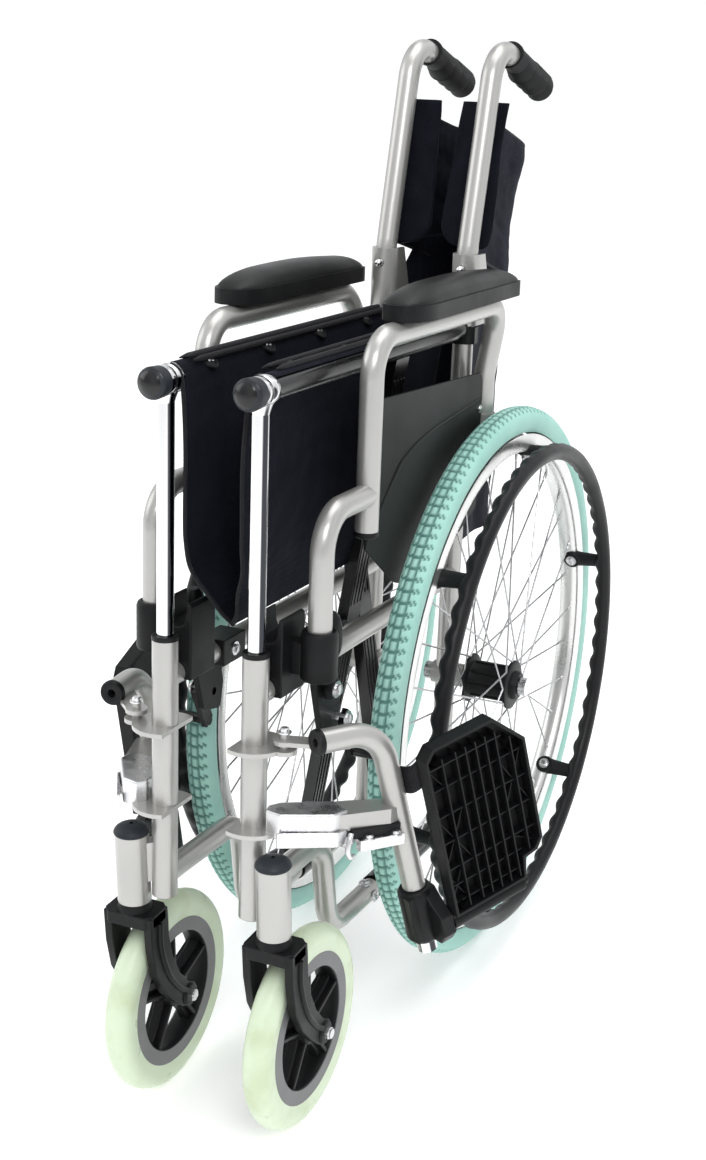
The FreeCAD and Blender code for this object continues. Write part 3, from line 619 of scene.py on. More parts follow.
def fork_mesh():
    """A flat squared crown with rounded shoulders, and two legs that taper back to the wheel's axle."""
    x, y = CASTER.x, CASTER.y
    parts = []
    line = [(y - 15, 217), (y + 16, 217), (y + 17, 205), (y + 17, 186), (y + 22, 160), (y + 34, 134),
            (y + 50, 114), (y + 61, 108), (y + 64, 100), (y + 61, 92), (y + 50, 88), (y + 39, 92),
            (y + 24, 106), (y + 6, 126), (y - 8, 152), (y - 14, 184)]
    ridge = [(y + 1, 206), (y + 1, 180), (y + 12, 146), (y + 30, 120), (y + 46, 106)]
    for k in (1, -1):
        low, high = (17.4, 26.0) if k > 0 else (-26.0, -17.4)
        parts.append(prism(line, x + low, x + high))
        boss = lathe([(k * 16.4, 5), (k * 16.4, 11), (k * 27.0, 12), (k * 28.5, 10), (k * 28.5, 5)],
                     CASTER_HUB, 32)
        rib = tube(smooth_path([(x + k * 26, *point) for point in ridge]), 3.2, 12)
        parts += [boss, rib]
    crown = prism([(x - 26, y - 11), (x - 20, y - 17), (x + 20, y - 17), (x + 26, y - 11), (x + 26, y + 13),
                   (x + 20, y + 19), (x - 20, y + 19), (x - 26, y + 13)], 205, 218.5, "Z")
    neck = lathe([(217, 0.2), (217, 17.5), (220, 16.8), (226.5, 14.5), (226.5, 0.2)],
                 (x, y, 0), 40, "Z", False)
    return merged(crown, neck, *parts)


def caster(side):
    piece("fork", side, fork_mesh(), BLACK, "caster_fork", UPRIGHT, bevel=2.0, sharp=60,
          replaces="caster_fork")
    nuts = merged(bolt(CASTER_HUB + Vector((27, 0, 0)), (1, 0, 0), 6.5, 6),
                  bolt(CASTER_HUB - Vector((27, 0, 0)), (-1, 0, 0), 6.5, 6),
                  tube([CASTER_HUB - Vector((30, 0, 0)), CASTER_HUB + Vector((34, 0, 0))], 4.9, 20))
    piece("caster_nuts", side, nuts, ZINC, "caster_fork", UPRIGHT)
    piece("caster_tread", side, caster_tyre_mesh(), PALE, "caster_wheel", UPRIGHT, replaces="caster_tyre")
    piece("caster_rings", side, caster_ring_mesh(), CORE_GREY, "caster_wheel", UPRIGHT)
    piece("caster_wheel", side, caster_core_mesh(), BLACK, "caster_wheel", UPRIGHT, bevel=1.2,
          replaces="caster_core")


# ---- frame trim ----
def dome(centre, radius, height, base):
    """A shallow dome with a short skirt."""
    profile = [(-base, 0.2), (-base, radius - 0.6), (0, radius)]
    profile += [(height * sin(radians(a)), radius * cos(radians(a))) for a in range(12, 90, 12)]
    return lathe(profile, centre, 40, "Z", False)


def frame_trim(side):
    top = dome((CASTER.x, CASTER.y, 298.2), 17, 8.5, 1.1)
    piece("caster_cap", side, top, CAP_GREY, "frame", UPRIGHT)
    post_foot = (FRAME_X, POST_Y, 0)
    bush = lathe([(437, 8.4), (437, 10.3), (454, 10.3), (454, 12.4), (457.5, 12.6), (458.5, 11.6),
                  (458.5, 8.4)], post_foot, 40, "Z")
    piece("post_bush", side, bush, BLACK, "frame", replaces="frame_caps")
    plug = dome((FRAME_X, POST_Y, 203.6), 11.8, -2.5, -3)
    piece("post_plug", side, plug, BLACK, "frame")
    bolts = [
        bolt((FRAME_X + 16.3, 22, 708), (1, 0, 0), 6, 6),
        bolt((FRAME_X - 16.3, 22, 708), (-1, 0, 0), 6, 6),
        bolt((FRAME_X + 11, -196, 116), (1, 0, 0), 4.5, 4, False),
        bolt((FRAME_X, -196, 127), (0, 0, 1), 4.5, 4, False),
        bolt((FRAME_X, -5, 127), (0, 0, 1), 4.5, 4, False),
        bolt((76, -449, 389), (0, 0, 1), 4.2, 5, False),
        bolt((76, -449, 309), (0, 0, 1), 4.2, 5, False),
    ]
    piece("frame_bolts", side, merged(*bolts), ZINC, "frame")
    finish_node("side_frame", side, SILVER)
    finish_node("snap_button", side, PAINTED_REFLECTION_CHROME)
    post = lathe([(422, 6.5), (422, 8), (SEAT_Z - 10, 8), (SEAT_Z - 10, 0.2), (640, 0.2), (640, 6.5)],
                 post_foot, 40, "Z")
    collar = lathe([(-461, 11.3), (-461, 13), (-460, 13.6), (-450.5, 13.6), (-450, 13.2), (-449, 13.2),
                    (-448.5, 13.6), (-438, 13.6), (-437, 13), (-437, 11.3)], (0, 0, 0), 48, "Z")
    stand = placed((FRAME_X, 0, SEAT_Z), radians(-90))
    saddle = lathe([(SEAT_Z - 19, 8), (SEAT_Z - 14, 9.5), (SEAT_Z - 10, 11), (SEAT_Z - 10, 8)],
                   post_foot, 40, "Z")
    piece("chrome_post", side, merged(post, moved(collar, stand), saddle), PAINTED_REFLECTION_CHROME, "seat_post",
          replaces="seat_post")
    half_ring = [(-6, 15.4), (7, 14.0), (7, 11.3), (0, 11.3), (-4, 10.6), (-8, 8), (-11.3, 0), (-8, -8),
                 (-4, -10.6), (0, -11.3), (7, -11.3), (7, -14.0), (-6, -15.4), (-13, -10), (-16, 0),
                 (-13, 10)]
    jaw = prism([(y, x + FRAME_X) for y, x in half_ring], SEAT_Z - 16, SEAT_Z + 1.4, "Z")
    jaw = [Vector((p.y, p.x, p.z)) for p in jaw[0]], jaw[1]
    spigot = moved(lathe([(-48, 0.2), (-48, 9.2), (-17, 9.2), (-17, 10.4), (-12, 10.4), (-12, 0.2)],
                         (0, 0, 0), 32, "Z", False), stand)
    piece("slider", side, merged(jaw, spigot), BLACK, "seat_post", bevel=0.8)


# ---- seat tubes ----
def carrier_of(side):
    """The cross bar that carries a side's seat tube, which comes up from the other side."""
    return "cross_bar_" + ("right" if side == "left" else "left")


def seat_tube_trim(side):
    """The seat tube's domed cap, and the cup washers and screws that hold the cloth."""
    carrier = carrier_of(side)
    cap = dome((0, 0, 0), 14.3, 7, 11)
    front = placed((FRAME_X, -470, SEAT_Z), radians(90))
    piece("tube_cap", side, moved(cap, front), CAP_GREY, carrier)
    washers, screws = [], []
    for y in (-391, -284, -177, -70):
        turn = placed((FRAME_X, y, SEAT_Z), -OPEN_TILT, "Y")
        cup = [(13.6, 0.2), (13.6, 10.6), (15.2, 10.1), (16.4, 7.0), (15.2, 5.4), (15.0, 0.2)]
        washers.append(moved(lathe(cup, (0, 0, 0), 28, "Z", False), turn))
        head = [(15.0, 0.2), (15.0, 4.8), (16.6, 3.8), (16.9, 0.2)]
        screws.append(moved(lathe(head, (0, 0, 0), 20, "Z", False), turn))
    piece("cup_washers", side, merged(*washers), BLACK, carrier)
    piece("seat_screws", side, merged(*screws), ZINC, carrier)


def cross_bar_trim(side):
    finish_node("cross_bar", side, GLOSS, 0.8)
    # the left cross bar rises to the right, behind the other one
    tilt = atan2(-2 * FRAME_X, SEAT_Z - LOW_Z)
    place = placed((FRAME_X, 0, LOW_Z), tilt, "Y")
    bar_y = REAR_BAR_Y if side == "left" else FRONT_BAR_Y
    ribs = []
    for face in (6.0, -6.0):
        for across in (-11, -3.8, 3.8, 11):
            ribs += [block((face - 0.9, face + 0.9), (bar_y + across - 1.5, bar_y + across + 1.5), span)
                     for span in ((22, 270), (310, 548))]
    piece("bar_ribs", side, moved(merged(*ribs), place), GLOSS, f"cross_bar_{side}", bevel=0.6)


# ---- cloth ----
def ripple(u, v, seed, fine=1.0):
    """Smooth wandering folds, from about -1 to 1."""
    return (noise.noise(Vector((u * 4.0 * fine, v * 1.3, seed)))
            + 0.5 * noise.noise(Vector((u * 11 * fine, v * 3.1, seed + 5))))


SLING_DEG = 8.57
SLING_HALF = 227.15
SLING_RISE = 12.8
SLING_DROP = 227.9
SEAT_WRAP, SEAT_RUN = 9, 40  # points of a row over the tube, and from there to the crease
UPPER_RUN = 48  # steps from the cane to the crease


def seat_half_mesh(seed):
    """Half of the hanging seat: over its tube, then down to the crease, its front hem drawn back below."""
    lean = radians(SLING_DEG)
    down = Vector((-sin(lean), 0, -cos(lean)))
    inner = Vector((-cos(lean), 0, sin(lean)))
    rows = []
    for u in steps(84):
        row = []
        for a in range(SEAT_WRAP):
            turn = radians(-35 + 14 * a)
            over = Vector((-sin(turn), 0, cos(turn))) * SLING_RISE
            row.append(Vector((FRAME_X, -443 + 419 * u, SEAT_Z)) + over)
        for v in steps(SEAT_RUN)[1:]:
            hem = 0 if v < 0.6 else (v - 0.6) / 0.4
            front = -443 - 2 * sin(pi * v) + 36 * hem ** 1.7
            rear = -24 - 12 * v ** 2
            y = front + (rear - front) * u
            hold = sin(pi * min(1, v * 1.02)) ** 0.6
            near_hem = exp(-u / 0.16)
            folds = 2.2 * ripple(u * 1.4, v, seed) + 5.5 * near_hem * hem * sin(v * 21 + seed)
            spot = Vector((FRAME_X, y, SEAT_Z)) + inner * SLING_RISE + down * (SLING_DROP * v)
            belly = 17 * sin(pi * v ** 1.9) * (0.55 + 0.45 * near_hem)
            row.append(spot + inner * (folds * hold * (0.4 if v > 0.95 else 1) - belly))
        rows.append(row)
    return net(rows)


def back_point(axis_y, along, z, slant):
    """A point of the back cloth on a V that opens forward: along the half from its post."""
    turn = radians(11.68)
    local = Vector((-sin(turn) * along, cos(turn) * along, 0))
    return placed((FRAME_X, axis_y, z), -slant) @ local


def post_y(z):
    return max(0.0, (z - CANE_BEND_Z) * tan(CANE_LEAN))


def back_bow(u, z):
    """How far the folded cloth bulges outward from the flat V."""
    return 15 * sin(pi * min(1, u) ** 3) * (0.82 + 0.18 * cos((z - 770) / 19))


def back_upper_mesh(seed):
    """Half of the back cloth above the hinge, with a step down behind the cane's sleeve and a round corner."""
    rows = []
    for v in steps(56):
        row = []
        for u in steps(UPPER_RUN):
            along = 8 + (SLING_HALF - 7.2) * u
            step = min(1, max(0, (along - 32) / 20))
            corner = max(0, (u - 0.9) / 0.1)
            top = 912 - 6 * step + 1.5 * u ** 2 - 9 * corner ** 3 + 1.2 * ripple(u, 0, seed)
            low = 771.5 - 10 * u
            z = low + (top - low) * v
            spot = back_point(post_y(z), along, z, CANE_LEAN)
            hold = sin(pi * min(1, u * 1.03)) ** 0.7 if u < 0.97 else 0.2
            folds = 2.6 * hold * ripple(v * 1.2, u * 2.4, seed + 3)
            row.append(spot + Vector((1, 0.2, 0)) * (folds + back_bow(u, z)))
        rows.append(row)
    return net(rows)


def back_sleeve_mesh(seed):
    """The doubled border of the cloth behind the cane, wider towards its rounded foot."""
    rows = []
    for v in steps(48):
        z = 767 + (912.5 - 767) * v
        foot = sqrt(max(0.0, 1 - ((0.16 - v) / 0.16) ** 2)) if v < 0.16 else 1.0
        inward = 12 + (29 - 8 * v) * foot
        outward = 10 + 6 * foot ** 0.5 + 1.0 * sin(v * 7)
        middle_x, half = (outward - inward) / 2, (outward + inward) / 2
        row = []
        for a in angles(40):
            c, d = cos(a), sin(a)
            x = middle_x + half * copysign(abs(c) ** 0.8, c)
            y = 17.2 + 4.0 * copysign(abs(d) ** 0.8, d)
            wrinkle = noise.noise(Vector((x * 0.08, d * 1.3, seed + v * 6)))
            away = min(1, max(0, (abs(x) - 9) / 10))
            row.append(Vector((FRAME_X + x, post_y(z) + y + 3.0 * away * wrinkle, z)))
        rows.append(row)
    return net(rows, False, True)


def back_lower_mesh(seed):
    """Half of the back cloth below the hinge, cut away beside the bracket and narrowing to its lower corner."""
    rows = []
    for v in steps(52):
        z = 444 + (771 - 444) * v
        row = []
        for u in steps(28):
            start = 17 + 10 * max(0, 1 - v * 1.2) + 34 * max(0, (z - 722) / 40)
            along = start + (SLING_HALF + 0.9 - start) * u
            spot = back_point(0, along, z - 20 * u * (1 - v), 0)
            hold = sin(pi * min(1, u * 1.03)) ** 0.7 if u < 0.97 else 0.2
            folds = 4.0 * hold * ripple(v * 1.6, u * 2.2, seed)
            row.append(spot + Vector((1, 0.2, 0)) * (folds + 0.55 * back_bow(u, z)))
        rows.append(row)
    return net(rows)


def edge_of(part, width, row):
    """The points of one row of a net, counted back from its last one when row is negative."""
    start = row % (len(part[0]) // width) * width
    return part[0][start:start + width]


def cloth(side):
    carrier, sign = carrier_of(side), SIDES[side]
    seat_seed, upper_seed, pocket_seed, lower_seed = (3, 7, 15, 11) if side == "left" else (21, 31, 51, 41)
    seat = seat_half_mesh(seat_seed)
    sling = piece("seat_cloth", side, seat, NYLON, "seat_half", thick=1.8, subdivide=1, replaces="seat_half")
    hems = [tube(edge_of(seat, SEAT_WRAP + SEAT_RUN, row)[3:], 1.9, 8) for row in (0, -1)]
    binding = piece("seat_binding", side, merged(*hems), WEBBING, "seat_half")
    for hanging in (sling, binding):
        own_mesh(hanging)
    rolls = []
    for x, z, radius in ((1, 15.4, 2.6), (-6, 17.0, 2.8), (-12.5, 14.6, 2.6)):
        line = [(FRAME_X + x, y, SEAT_Z + z) for y in (-424, -410, -200, -30)]
        rolls.append(tube(line, [0.6, radius, radius, radius], 12))
    piece("seat_rolls", side, merged(*rolls), WEBBING, carrier)

    upper = back_upper_mesh(upper_seed)
    back = piece("back_cloth", side, upper, NYLON, "back_half", thick=2.0, subdivide=1, replaces="back_half")
    edges = [tube(edge_of(upper, UPPER_RUN + 1, row), 1.5, 8) for row in (0, -1)]
    piece("back_binding", side, merged(*edges), WEBBING, "back_half")

    pocket = piece("cane_pocket", side, back_sleeve_mesh(pocket_seed), NYLON, "back_post", thick=1.4)

    lower = back_lower_mesh(lower_seed)
    flap = piece("back_flap_cloth", side, lower, NYLON, "back_flap", thick=2.0, subdivide=1,
                 replaces="back_flap")
    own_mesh(flap)


# ---- armrests ----
def pad_mesh(low, high, inset, crown):
    """A rounded long pad: a band with upright sides, or a crown that rises over its front quarter."""
    y0, y1, half = -270.0 + inset, -6.0 - inset, 25.0 - inset
    rows, count, turns = [], 56, 21
    for t in steps(count):
        t = 0.5 - 0.5 * cos(pi * t) if crown else t
        y = y0 + (y1 - y0) * t
        nose = sqrt(max(0.0, 1 - ((0.15 - t) / 0.15) ** 2)) if t < 0.15 else 1.0
        tail = max(0.0, 1 - ((t - 0.94) / 0.06) ** 2) ** 0.35 if t > 0.94 else 1.0
        w = max(0.04, min(0.25 + 0.75 * nose, 0.55 + 0.45 * tail))
        row = []
        if crown:
            swell = (1 - (1 - min(1, t / 0.26)) ** 2) ** 0.6 * (0.84 + 0.16 * sin(pi * min(1, t / 0.9)))
            swell *= 1 - 0.24 * max(0, (t - 0.55) / 0.45) ** 1.6
            swell *= max(0.0, 1 - ((t - 0.90) / 0.10) ** 2) ** 0.5 if t > 0.90 else 1
            rise = (high - low) * max(0.03, swell)
        else:
            rise = high - low
        for j in range(turns):
            a = pi * j / (turns - 1)
            c, d = cos(a), sin(a)
            if crown:
                x = -copysign(abs(c) ** 0.85, c) * half * w
                z = low + rise * d ** 0.95
            else:
                x = -copysign(abs(c) ** 0.12, c) * half * w
                z = low + rise * min(1, d * 4)
            row.append(Vector((PAD_X + x, y, z)))
        rows.append(row)
    points, faces = net(rows)
    last = count * turns
    faces += [(a, a + turns - 1, a + 2 * turns - 1, a + turns) for a in range(0, last, turns)]
    return points, faces + [tuple(range(turns)), tuple(reversed(range(last, last + turns)))]


def armrest(side):
    base = pad_mesh(727.3, 742, 0, crown=False)
    piece("pad_base", side, base, BLACK, "armrest", bevel=1.0, replaces="arm_pad")
    top = piece("pad_top", side, pad_mesh(741.4, 758.5, 2.2, crown=True), VINYL, "armrest")
    plug = dome((ARM_X, -312, 538.2), 11.6, -3.5, -4)
    piece("arm_plug", side, plug, BLACK, "armrest")
    outline = [(-296, 652), (-293, 655), (-282, 657), (-28, 646), (-21, 643), (-18, 637), (-18, 505),
               (-22, 500), (-146, 449), (-154, 449), (-221, 468), (-228, 471), (-296, 519)]
    ridge = [(78, -296, 525), (78.6, -240, 575), (78.6, -212, 592), (78.6, -150, 606), (78, -20, 618)]
    panel = prism(outline, 75, 78)
    piece("skirt_guard", side, panel, GUARD, "armrest", bevel=0.7, replaces="side_panel")
    piece("guard_ridge", side, tube(smooth_path(ridge), 2.0, 10, True, 0.5, Vector((1, 0, 0))), GUARD,
          "armrest")
    screws = [bolt((78, y, z), (1, 0, 0), 3.0, 2.6, False) for y, z in ((-289, 636), (-289, 554), (-24, 608))]
    piece("guard_screws", side, merged(*screws), ZINC, "armrest")
    finish_node("armrest_tube", side, SILVER)


# ---- push handles ----
HANDLE = Vector((FRAME_X, post_y(972), 972))
GRIP_END = Vector((FRAME_X, 198, 927))


def grip_mesh():
    """A moulded grip with a collar, a raised back and four sawteeth underneath."""
    start = HANDLE.lerp(GRIP_END, 0.28)
    along = (GRIP_END - start).normalized()
    length = (GRIP_END - start).length
    under = Vector((1, 0, 0)).cross(along).normalized()
    if under.z > 0:
        under = -under
    across = Vector((1, 0, 0))
    rows, count, sides = [], 120, 32
    for t in steps(count):
        saw = ((t - 0.20) / 0.19) % 1 if 0.20 < t < 0.96 else 0.0
        tooth = saw ** 0.8 if saw < 0.82 else (1 - saw) / 0.18
        end = max(0.0, 1 - abs(t - 1) * length / 6)
        collar = 1.2 if t < 0.035 else 0.0
        back = 0.9 if 0.55 < t < 0.93 else 0.0
        row = []
        for psi in angles(sides):
            low = max(0.0, cos(psi)) ** 0.4
            top = 1.0 if cos(psi) < -0.55 else 0.0
            r = 14.0 + collar + back * top + low * (6.4 * tooth - 2.0) - 2.2 * end ** 3
            row.append(start + along * (length * t) + (under * cos(psi) + across * sin(psi)) * r)
        rows.append(row)
    points, faces = net(rows, False, True)
    return points, faces + [tuple(range(sides)), tuple(reversed(range(count * sides, (count + 1) * sides)))]


def handle(side):
    piece("grip", side, grip_mesh(), RUBBER, "back_post", sharp=35, replaces="push_grip")
    finish_node("back_cane", side, SILVER)


# ---- saddles and brakes ----
def saddle_mesh():
    cradle = [(29, 412), (63, 412), (63, 482), (59, 485), (57.9, 480), (57.6, 470), (55, 464), (50, 461.5),
              (42, 461.5), (37, 464), (34.4, 470), (34.1, 480), (33, 485), (29, 482)]
    body = prism(cradle, -432, -388, "Y")
    arm = block((60, 72), (-413, -393), (430, 460))
    cup = lathe([(426, 11.6), (426, 15.5), (429, 16.8), (468, 16.8), (472, 15.2), (472, 11.6)],
                (ARM_X, -403, 0), 40, "Z")
    return merged(body, arm, cup)


def brake_lever_mesh():
    y, z = -348.0, 398.0  # the lever's pivot
    arm = prism([(y - 9, z - 8), (y - 3, z - 11), (y + 6, z - 9), (y + 9, z - 2), (y + 6, z + 20),
                 (y + 2, z + 46), (y - 12, z + 46), (y - 9, z + 15)], 68, 75)
    hub = lathe([(67.6, 4.3), (67.6, 10), (76.5, 10), (76.5, 4.3)], (0, y, z), 28)
    line = [(71.5, y - back, z + rise)
            for back, rise in ((2.5, 32), (3.0, 38), (4.3, 48), (6, 62), (7.2, 71), (8, 76))]
    knob = tube(line, [7, 9.5, 11, 11, 9, 5], 24)
    return merged(arm, hub, knob)


def brake(side):
    piece("saddle_ring", side, saddle_mesh(), BLACK, "frame", bevel=1.4, replaces="saddle")
    piece("brake_handle", side, brake_lever_mesh(), BLACK, "brake_lever", bevel=1.2, replaces="brake_lever")
    plate = [(-370, 416), (-368, 419), (-336, 419), (-328, 413), (-316, 374), (-316, 370), (-321, 347),
             (-326, 346), (-350, 351), (-354, 354), (-370, 404)]
    clamp = block((32, 60), (-366, -324), (405, 431))
    piece("brake_plate", side, merged(prism(plate, 60, 66.5), clamp), BLACK, "frame", bevel=1.2,
          replaces="brake_bracket")
    rods = [tube([(60, y, z), (end, y, z)], 3.9, 20) for y, z, end in ((-348, 398, 79), (-334, 366, 84))]
    pins = merged(*rods,
                  bolt((76.8, -348, 398), (1, 0, 0), 5.5, 5, False),
                  bolt((82.4, -334, 366), (1, 0, 0), 5.0, 4.5, False),
                  bolt((32, -345, 418), (-1, 0, 0), 4.5, 4))
    piece("brake_pins", side, pins, ZINC, "frame")
    finish_node("brake_shoe", side, GLOSS, 0.8)


# ---- footrests ----
ACROSS = Vector((cos(FOOT_LEAN), 0, sin(FOOT_LEAN)))
DOWN = Vector((sin(FOOT_LEAN), 0, -cos(FOOT_LEAN)))


def foot(h, e, t):
    """A point by its place across the foot tube, out of the footrest's plane and along the tube."""
    return ACROSS * h + Vector((0, e, 0)) + DOWN * t


def swung(side):
    """From the footrest's own plane to the level chair. A side's mirror is its own inverse."""
    turn = Matrix.Rotation(radians(SWING[side] - 90), 4, "Z")
    return MIRROR[side] @ Matrix.Translation(PIN) @ turn @ Matrix.Scale(-1, 4, (0, 1, 0)) @ MIRROR[side]


PLATE_LOW, PLATE_HIGH, PLATE_TOP, PLATE_BOTTOM = FOOT_H + 15, FOOT_H + 122, -335, -158


def plate_edge(inset):
    """The plate's outline as (h, t) points, inset from its rim."""
    a, b, c, d = PLATE_LOW + inset, PLATE_HIGH - inset, PLATE_TOP + inset, PLATE_BOTTOM - inset
    cut = 0.4 * inset
    return [(a, d), (a, c + 10 - cut), (a + 10 - cut, c), (b - 30 + cut, c), (b, c + 34 - cut),
            (b, d - 34 + cut), (b - 8, d - 24), (b - 22, d - 22), (b - 26 + cut, d)]


def walled(outline, inner, low, high):
    """A wall that follows an outline."""
    lines = ((outline, low), (outline, high), (inner, high), (inner, low))
    return net([[foot(h, e, t) for h, t in line] for line, e in lines], True, True)


def raised(outline, low, high):
    """A solid between two levels, from an outline of (h, t) points."""
    return between([foot(h, low, t) for h, t in outline], [foot(h, high, t) for h, t in outline])


def slat(h, e, t):
    """A bar along the foot tube's own directions."""
    return raised([(h[0], t[0]), (h[1], t[0]), (h[1], t[1]), (h[0], t[1])], *e)


def footplate_mesh():
    outer, inner = plate_edge(0), plate_edge(3)
    parts = [raised(outer, 57, 60), walled(outer, inner, 57, 73)]
    for h in (18, 33, 44, 55, 66, 77, 92):
        parts.append(slat((PLATE_LOW + h - 0.8, PLATE_LOW + h + 0.8), (59, 71.5),
                          (PLATE_TOP + (14 if h < 90 else 26), PLATE_BOTTOM - (4 if h < 80 else 26))))
    for t in (-314, -290, -262, -234, -206, -188, -170):
        wide = PLATE_HIGH - PLATE_LOW - (24 if t < -310 else 3 if t < -190 else 22)
        parts.append(slat((PLATE_LOW + 3, PLATE_LOW + wide), (59, 68 if t > -300 else 71),
                          (t - 0.8, t + 0.8)))
    for h0, t0, h1, t1 in ((3, -262, 33, -206), (33, -262, 3, -206), (77, -290, 104, -234),
                           (104, -290, 77, -234), (3, -200, 18, -172), (18, -200, 3, -172),
                           (3, -314, 18, -290), (77, -206, 100, -190)):
        a, b = Vector((PLATE_LOW + h0, t0)), Vector((PLATE_LOW + h1, t1))
        side = (b - a).orthogonal().normalized() * 0.8
        parts.append(raised([a + side, b + side, b - side, a - side], 59, 66))
    for h, t in ((12, -322), (12, -168), (92, -300)):
        ring = [foot(PLATE_LOW + h + 5 * cos(a), e, t + 5 * sin(a)) for e in (59, 71) for a in angles(20)]
        parts.append((ring, [(i, (i + 1) % 20, 20 + (i + 1) % 20, 20 + i) for i in range(20)]))
    barrel = tube([foot(PLATE_LOW, 60, -148), foot(PLATE_HIGH - 24, 60, -148)], 8, 28)
    neck = slat((PLATE_LOW, PLATE_HIGH - 24), (57, 66), (-160, -148))
    return merged(barrel, neck, *parts)


def along_tube():
    """From a part drawn along Z, with the foot tube's own t for its heights, to the tube's line."""
    turn = Matrix.Rotation(FOOT_LEAN, 4, "Y")
    return Matrix.Translation(foot(FOOT_H, HANGER_E, 0)) @ turn.inverted() @ Matrix.Scale(-1, 4, (0, 0, 1))


def clamp_mesh():
    """The moulded hub on the foot tube, with the lug and the pin that the plate hinges on."""
    hub = lathe([(-183, 9.6), (-183, 14), (-179, 16.6), (-130, 16.6), (-126, 14), (-124, 9.6)],
                (0, 0, 0), 36, "Z")
    wing = [(-182, 4), (-182, 12), (-170, 22), (-160, 35), (-140, 36), (-128, 26), (-126, 4)]
    web = [(-180, -4), (-180, 14), (-130, 14), (-130, -4)]
    solids = [between(*[[foot(FOOT_H + h, HANGER_E + e, t) for t, e in outline] for h in levels])
              for outline, levels in ((wing, (1, 15)), (web, (-16, 4)))]
    pin = tube([foot(FOOT_H + 4, 60, -148), foot(FOOT_H + 104, 60, -148)], 3.9, 16)
    return merged(moved(hub, along_tube()), *solids, pin)


def strap_mesh():
    """The heel strap, from the tube round behind the plate."""
    path = smooth_path([foot(FOOT_H + 11, 22, -292), foot(FOOT_H + 14, 40, -296), foot(FOOT_H + 16, 52, -304),
                        foot(FOOT_H + 26, 56, -312)])
    return net([[p - DOWN * w for w in (-14, -7, 0, 7, 14)] for p in path])


def footrest(side):
    space = LEVEL @ swung(side)
    piece("tread_plate", side, footplate_mesh(), BLACK, "footplate", space, bevel=0.5, replaces="footplate")
    piece("foot_clamp", side, clamp_mesh(), BLACK, "foot_tube", space, bevel=1.5, replaces="foot_tube")
    stick = lathe([(-310, 8), (-311, 8.4), (-311, 9.2), (-310, 9.5), (-112, 9.5), (-112, 8)],
                  (0, 0, 0), 36, "Z")
    piece("chrome_stick", side, moved(stick, along_tube()), PAINTED_REFLECTION_CHROME, "foot_tube", space)
    plug = lathe([(3, 3.0), (-1.5, 4.0), (-2.5, 8), (-2, 11), (0, 12), (3, 12), (3, 9.4), (6, 9.4)],
                 (0, 0, 0), 36, "X", False)
    piece("hanger_plug", side, moved(plug, Matrix.Translation((14, HANGER_E, 388))), BLACK, "hanger", space)
    cover = prism([(-15, -5), (-7, -14), (6, -14), (50, 6), (50, 30), (34, 33), (-9, 10)], 291, 316.5, "Z")
    piece("latch_cover", side, cover, ZINC, "hanger", space, bevel=2.0)
    skirt = prism([(-13, 10.5), (34, 34), (50, 31), (50, 33), (35, 37), (-14, 14)], 286, 300, "Z")
    piece("latch_skirt", side, skirt, ZINC, "hanger", space, bevel=0.8)
    lever = merged(prism([(56, 35), (100, 43), (101, 47), (56, 43)], 279, 290, "Z"),
                   bolt((66, 41, 290), (0, 0, 1), 4.0, 4, False),
                   bolt((92, 45, 290), (0, 0, 1), 4.0, 4, False))
    piece("latch_lever", side, lever, ZINC, "hanger", space, bevel=0.6)
    bar = prism([(50, 30), (98, 38), (98, 44), (50, 38)], 290.5, 300, "Z")
    piece("latch_bar", side, bar, BLACK, "hanger", space, bevel=0.8)
    bend = [(50, 36, 296), (47, 38, 290), (45, 39, 282), (47, 39, 275), (52, 38, 274)]
    hook = tube(smooth_path(bend), 2.6, 12)
    piece("latch_hook", side, hook, ZINC, "latch", space)
    strap = piece("heel_strap", side, strap_mesh(), WEBBING, "hanger", space, thick=1.8)
    finish_node("hanger", side, SILVER)
    finish_node("hanger_latch", side, ZINC, 0.8)


# ---- stage ----
ROOM = ((0.02, 0.55), (0.18, 1.0), (0.36, 0.75), (0.47, 0.30), (0.58, 0.95), (0.74, 0.55), (0.86, 1.15),
        (0.98, 0.8))


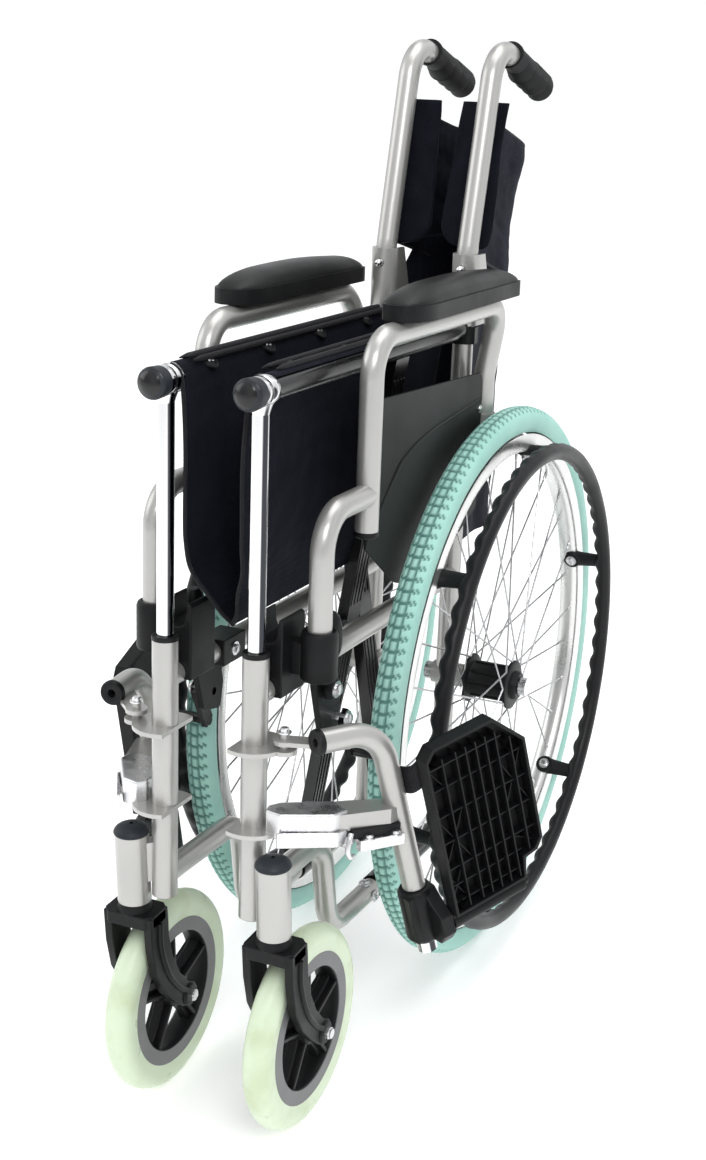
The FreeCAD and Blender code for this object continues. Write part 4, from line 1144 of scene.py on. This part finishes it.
def stage():
    floor = bpy.data.meshes.new("floor")
    size = 60.0
    corners = [(-size, -size, 0), (size, -size, 0), (size, size, 0), (-size, size, 0)]
    floor.from_pydata(corners, [], [(0, 1, 2, 3)])
    thing = add("floor", floor)
    pale = Paint("floor_pale", (0.95, 0.95, 0.95), 0.9, Specular_IOR_Level=0.0, Emission_Strength=0.30)
    pale.set("Emission Color", (1, 1, 1, 1))
    thing.data.materials.append(pale.material)
    world = bpy.data.worlds.new("soft_room")
    bpy.context.scene.world = world
    world.use_nodes = True
    tree = world.node_tree
    background = tree.nodes["Background"]
    background.inputs["Strength"].default_value = 1.0
    # the room is brighter and darker by turns around the chair, so that chrome and paint have something to show
    direction = tree.nodes.new("ShaderNodeTexCoord")
    turn = tree.nodes.new("ShaderNodeMapping")
    turn.inputs["Rotation"].default_value = (0, 0, radians(-40))
    turn.inputs["Scale"].default_value = (0.5, 0.5, 0.5)
    turn.inputs["Location"].default_value = (0.5, 0, 0)
    across = tree.nodes.new("ShaderNodeTexGradient")
    room = tree.nodes.new("ShaderNodeValToRGB")
    for place, shade in ROOM:
        stop = room.color_ramp.elements.new(place)
        stop.color = (shade * 0.98, shade * 0.99, shade, 1)
    room.color_ramp.elements.remove(room.color_ramp.elements[0])
    room.color_ramp.elements.remove(room.color_ramp.elements[-1])
    tree.links.new(direction.outputs["Generated"], turn.inputs["Vector"])
    tree.links.new(turn.outputs["Vector"], across.inputs["Vector"])
    tree.links.new(across.outputs["Fac"], room.inputs["Fac"])
    tree.links.new(room.outputs["Color"], background.inputs["Color"])
    bpy.context.scene.view_settings.view_transform = "Standard"
    for name, place, power, wide in (("key", (1.6, -2.6, 3.2), 60, 1.6), ("fill", (-2.8, -1.0, 2.0), 22, 2.0),
                                     ("top", (0.2, 0.6, 3.4), 40, 2.4)):
        light = bpy.data.lights.new(name, "AREA")
        light.energy, light.size = power, wide
        lamp = add(name, light)
        lamp.location = place
        lamp.rotation_euler = (Vector((0, 0, 0.5)) - Vector(place)).to_track_quat("-Z", "Y").to_euler()


def camera():
    """At the photograph's viewing angle."""
    data = bpy.data.cameras.new("camera")
    data.sensor_width = 36.0
    data.lens = 55.09
    data.shift_x, data.shift_y = 0.0026, 0.0388
    thing = add("camera", data)
    thing.location = (AXLE.x + 0.735, AXLE.y - 1.691, 1.078)
    aim = Euler((radians(90 - 21.52), 0, radians(25.51))).to_matrix()
    thing.rotation_euler = (aim @ Matrix.Rotation(radians(0.2), 3, "Z")).to_euler()
    bpy.context.scene.camera = thing


camera()
stage()
for make in (frame_trim, rear_wheel, caster, seat_tube_trim, cross_bar_trim, cloth, armrest, handle, brake,
             footrest):
    for side_name in SIDES:
        make(side_name)
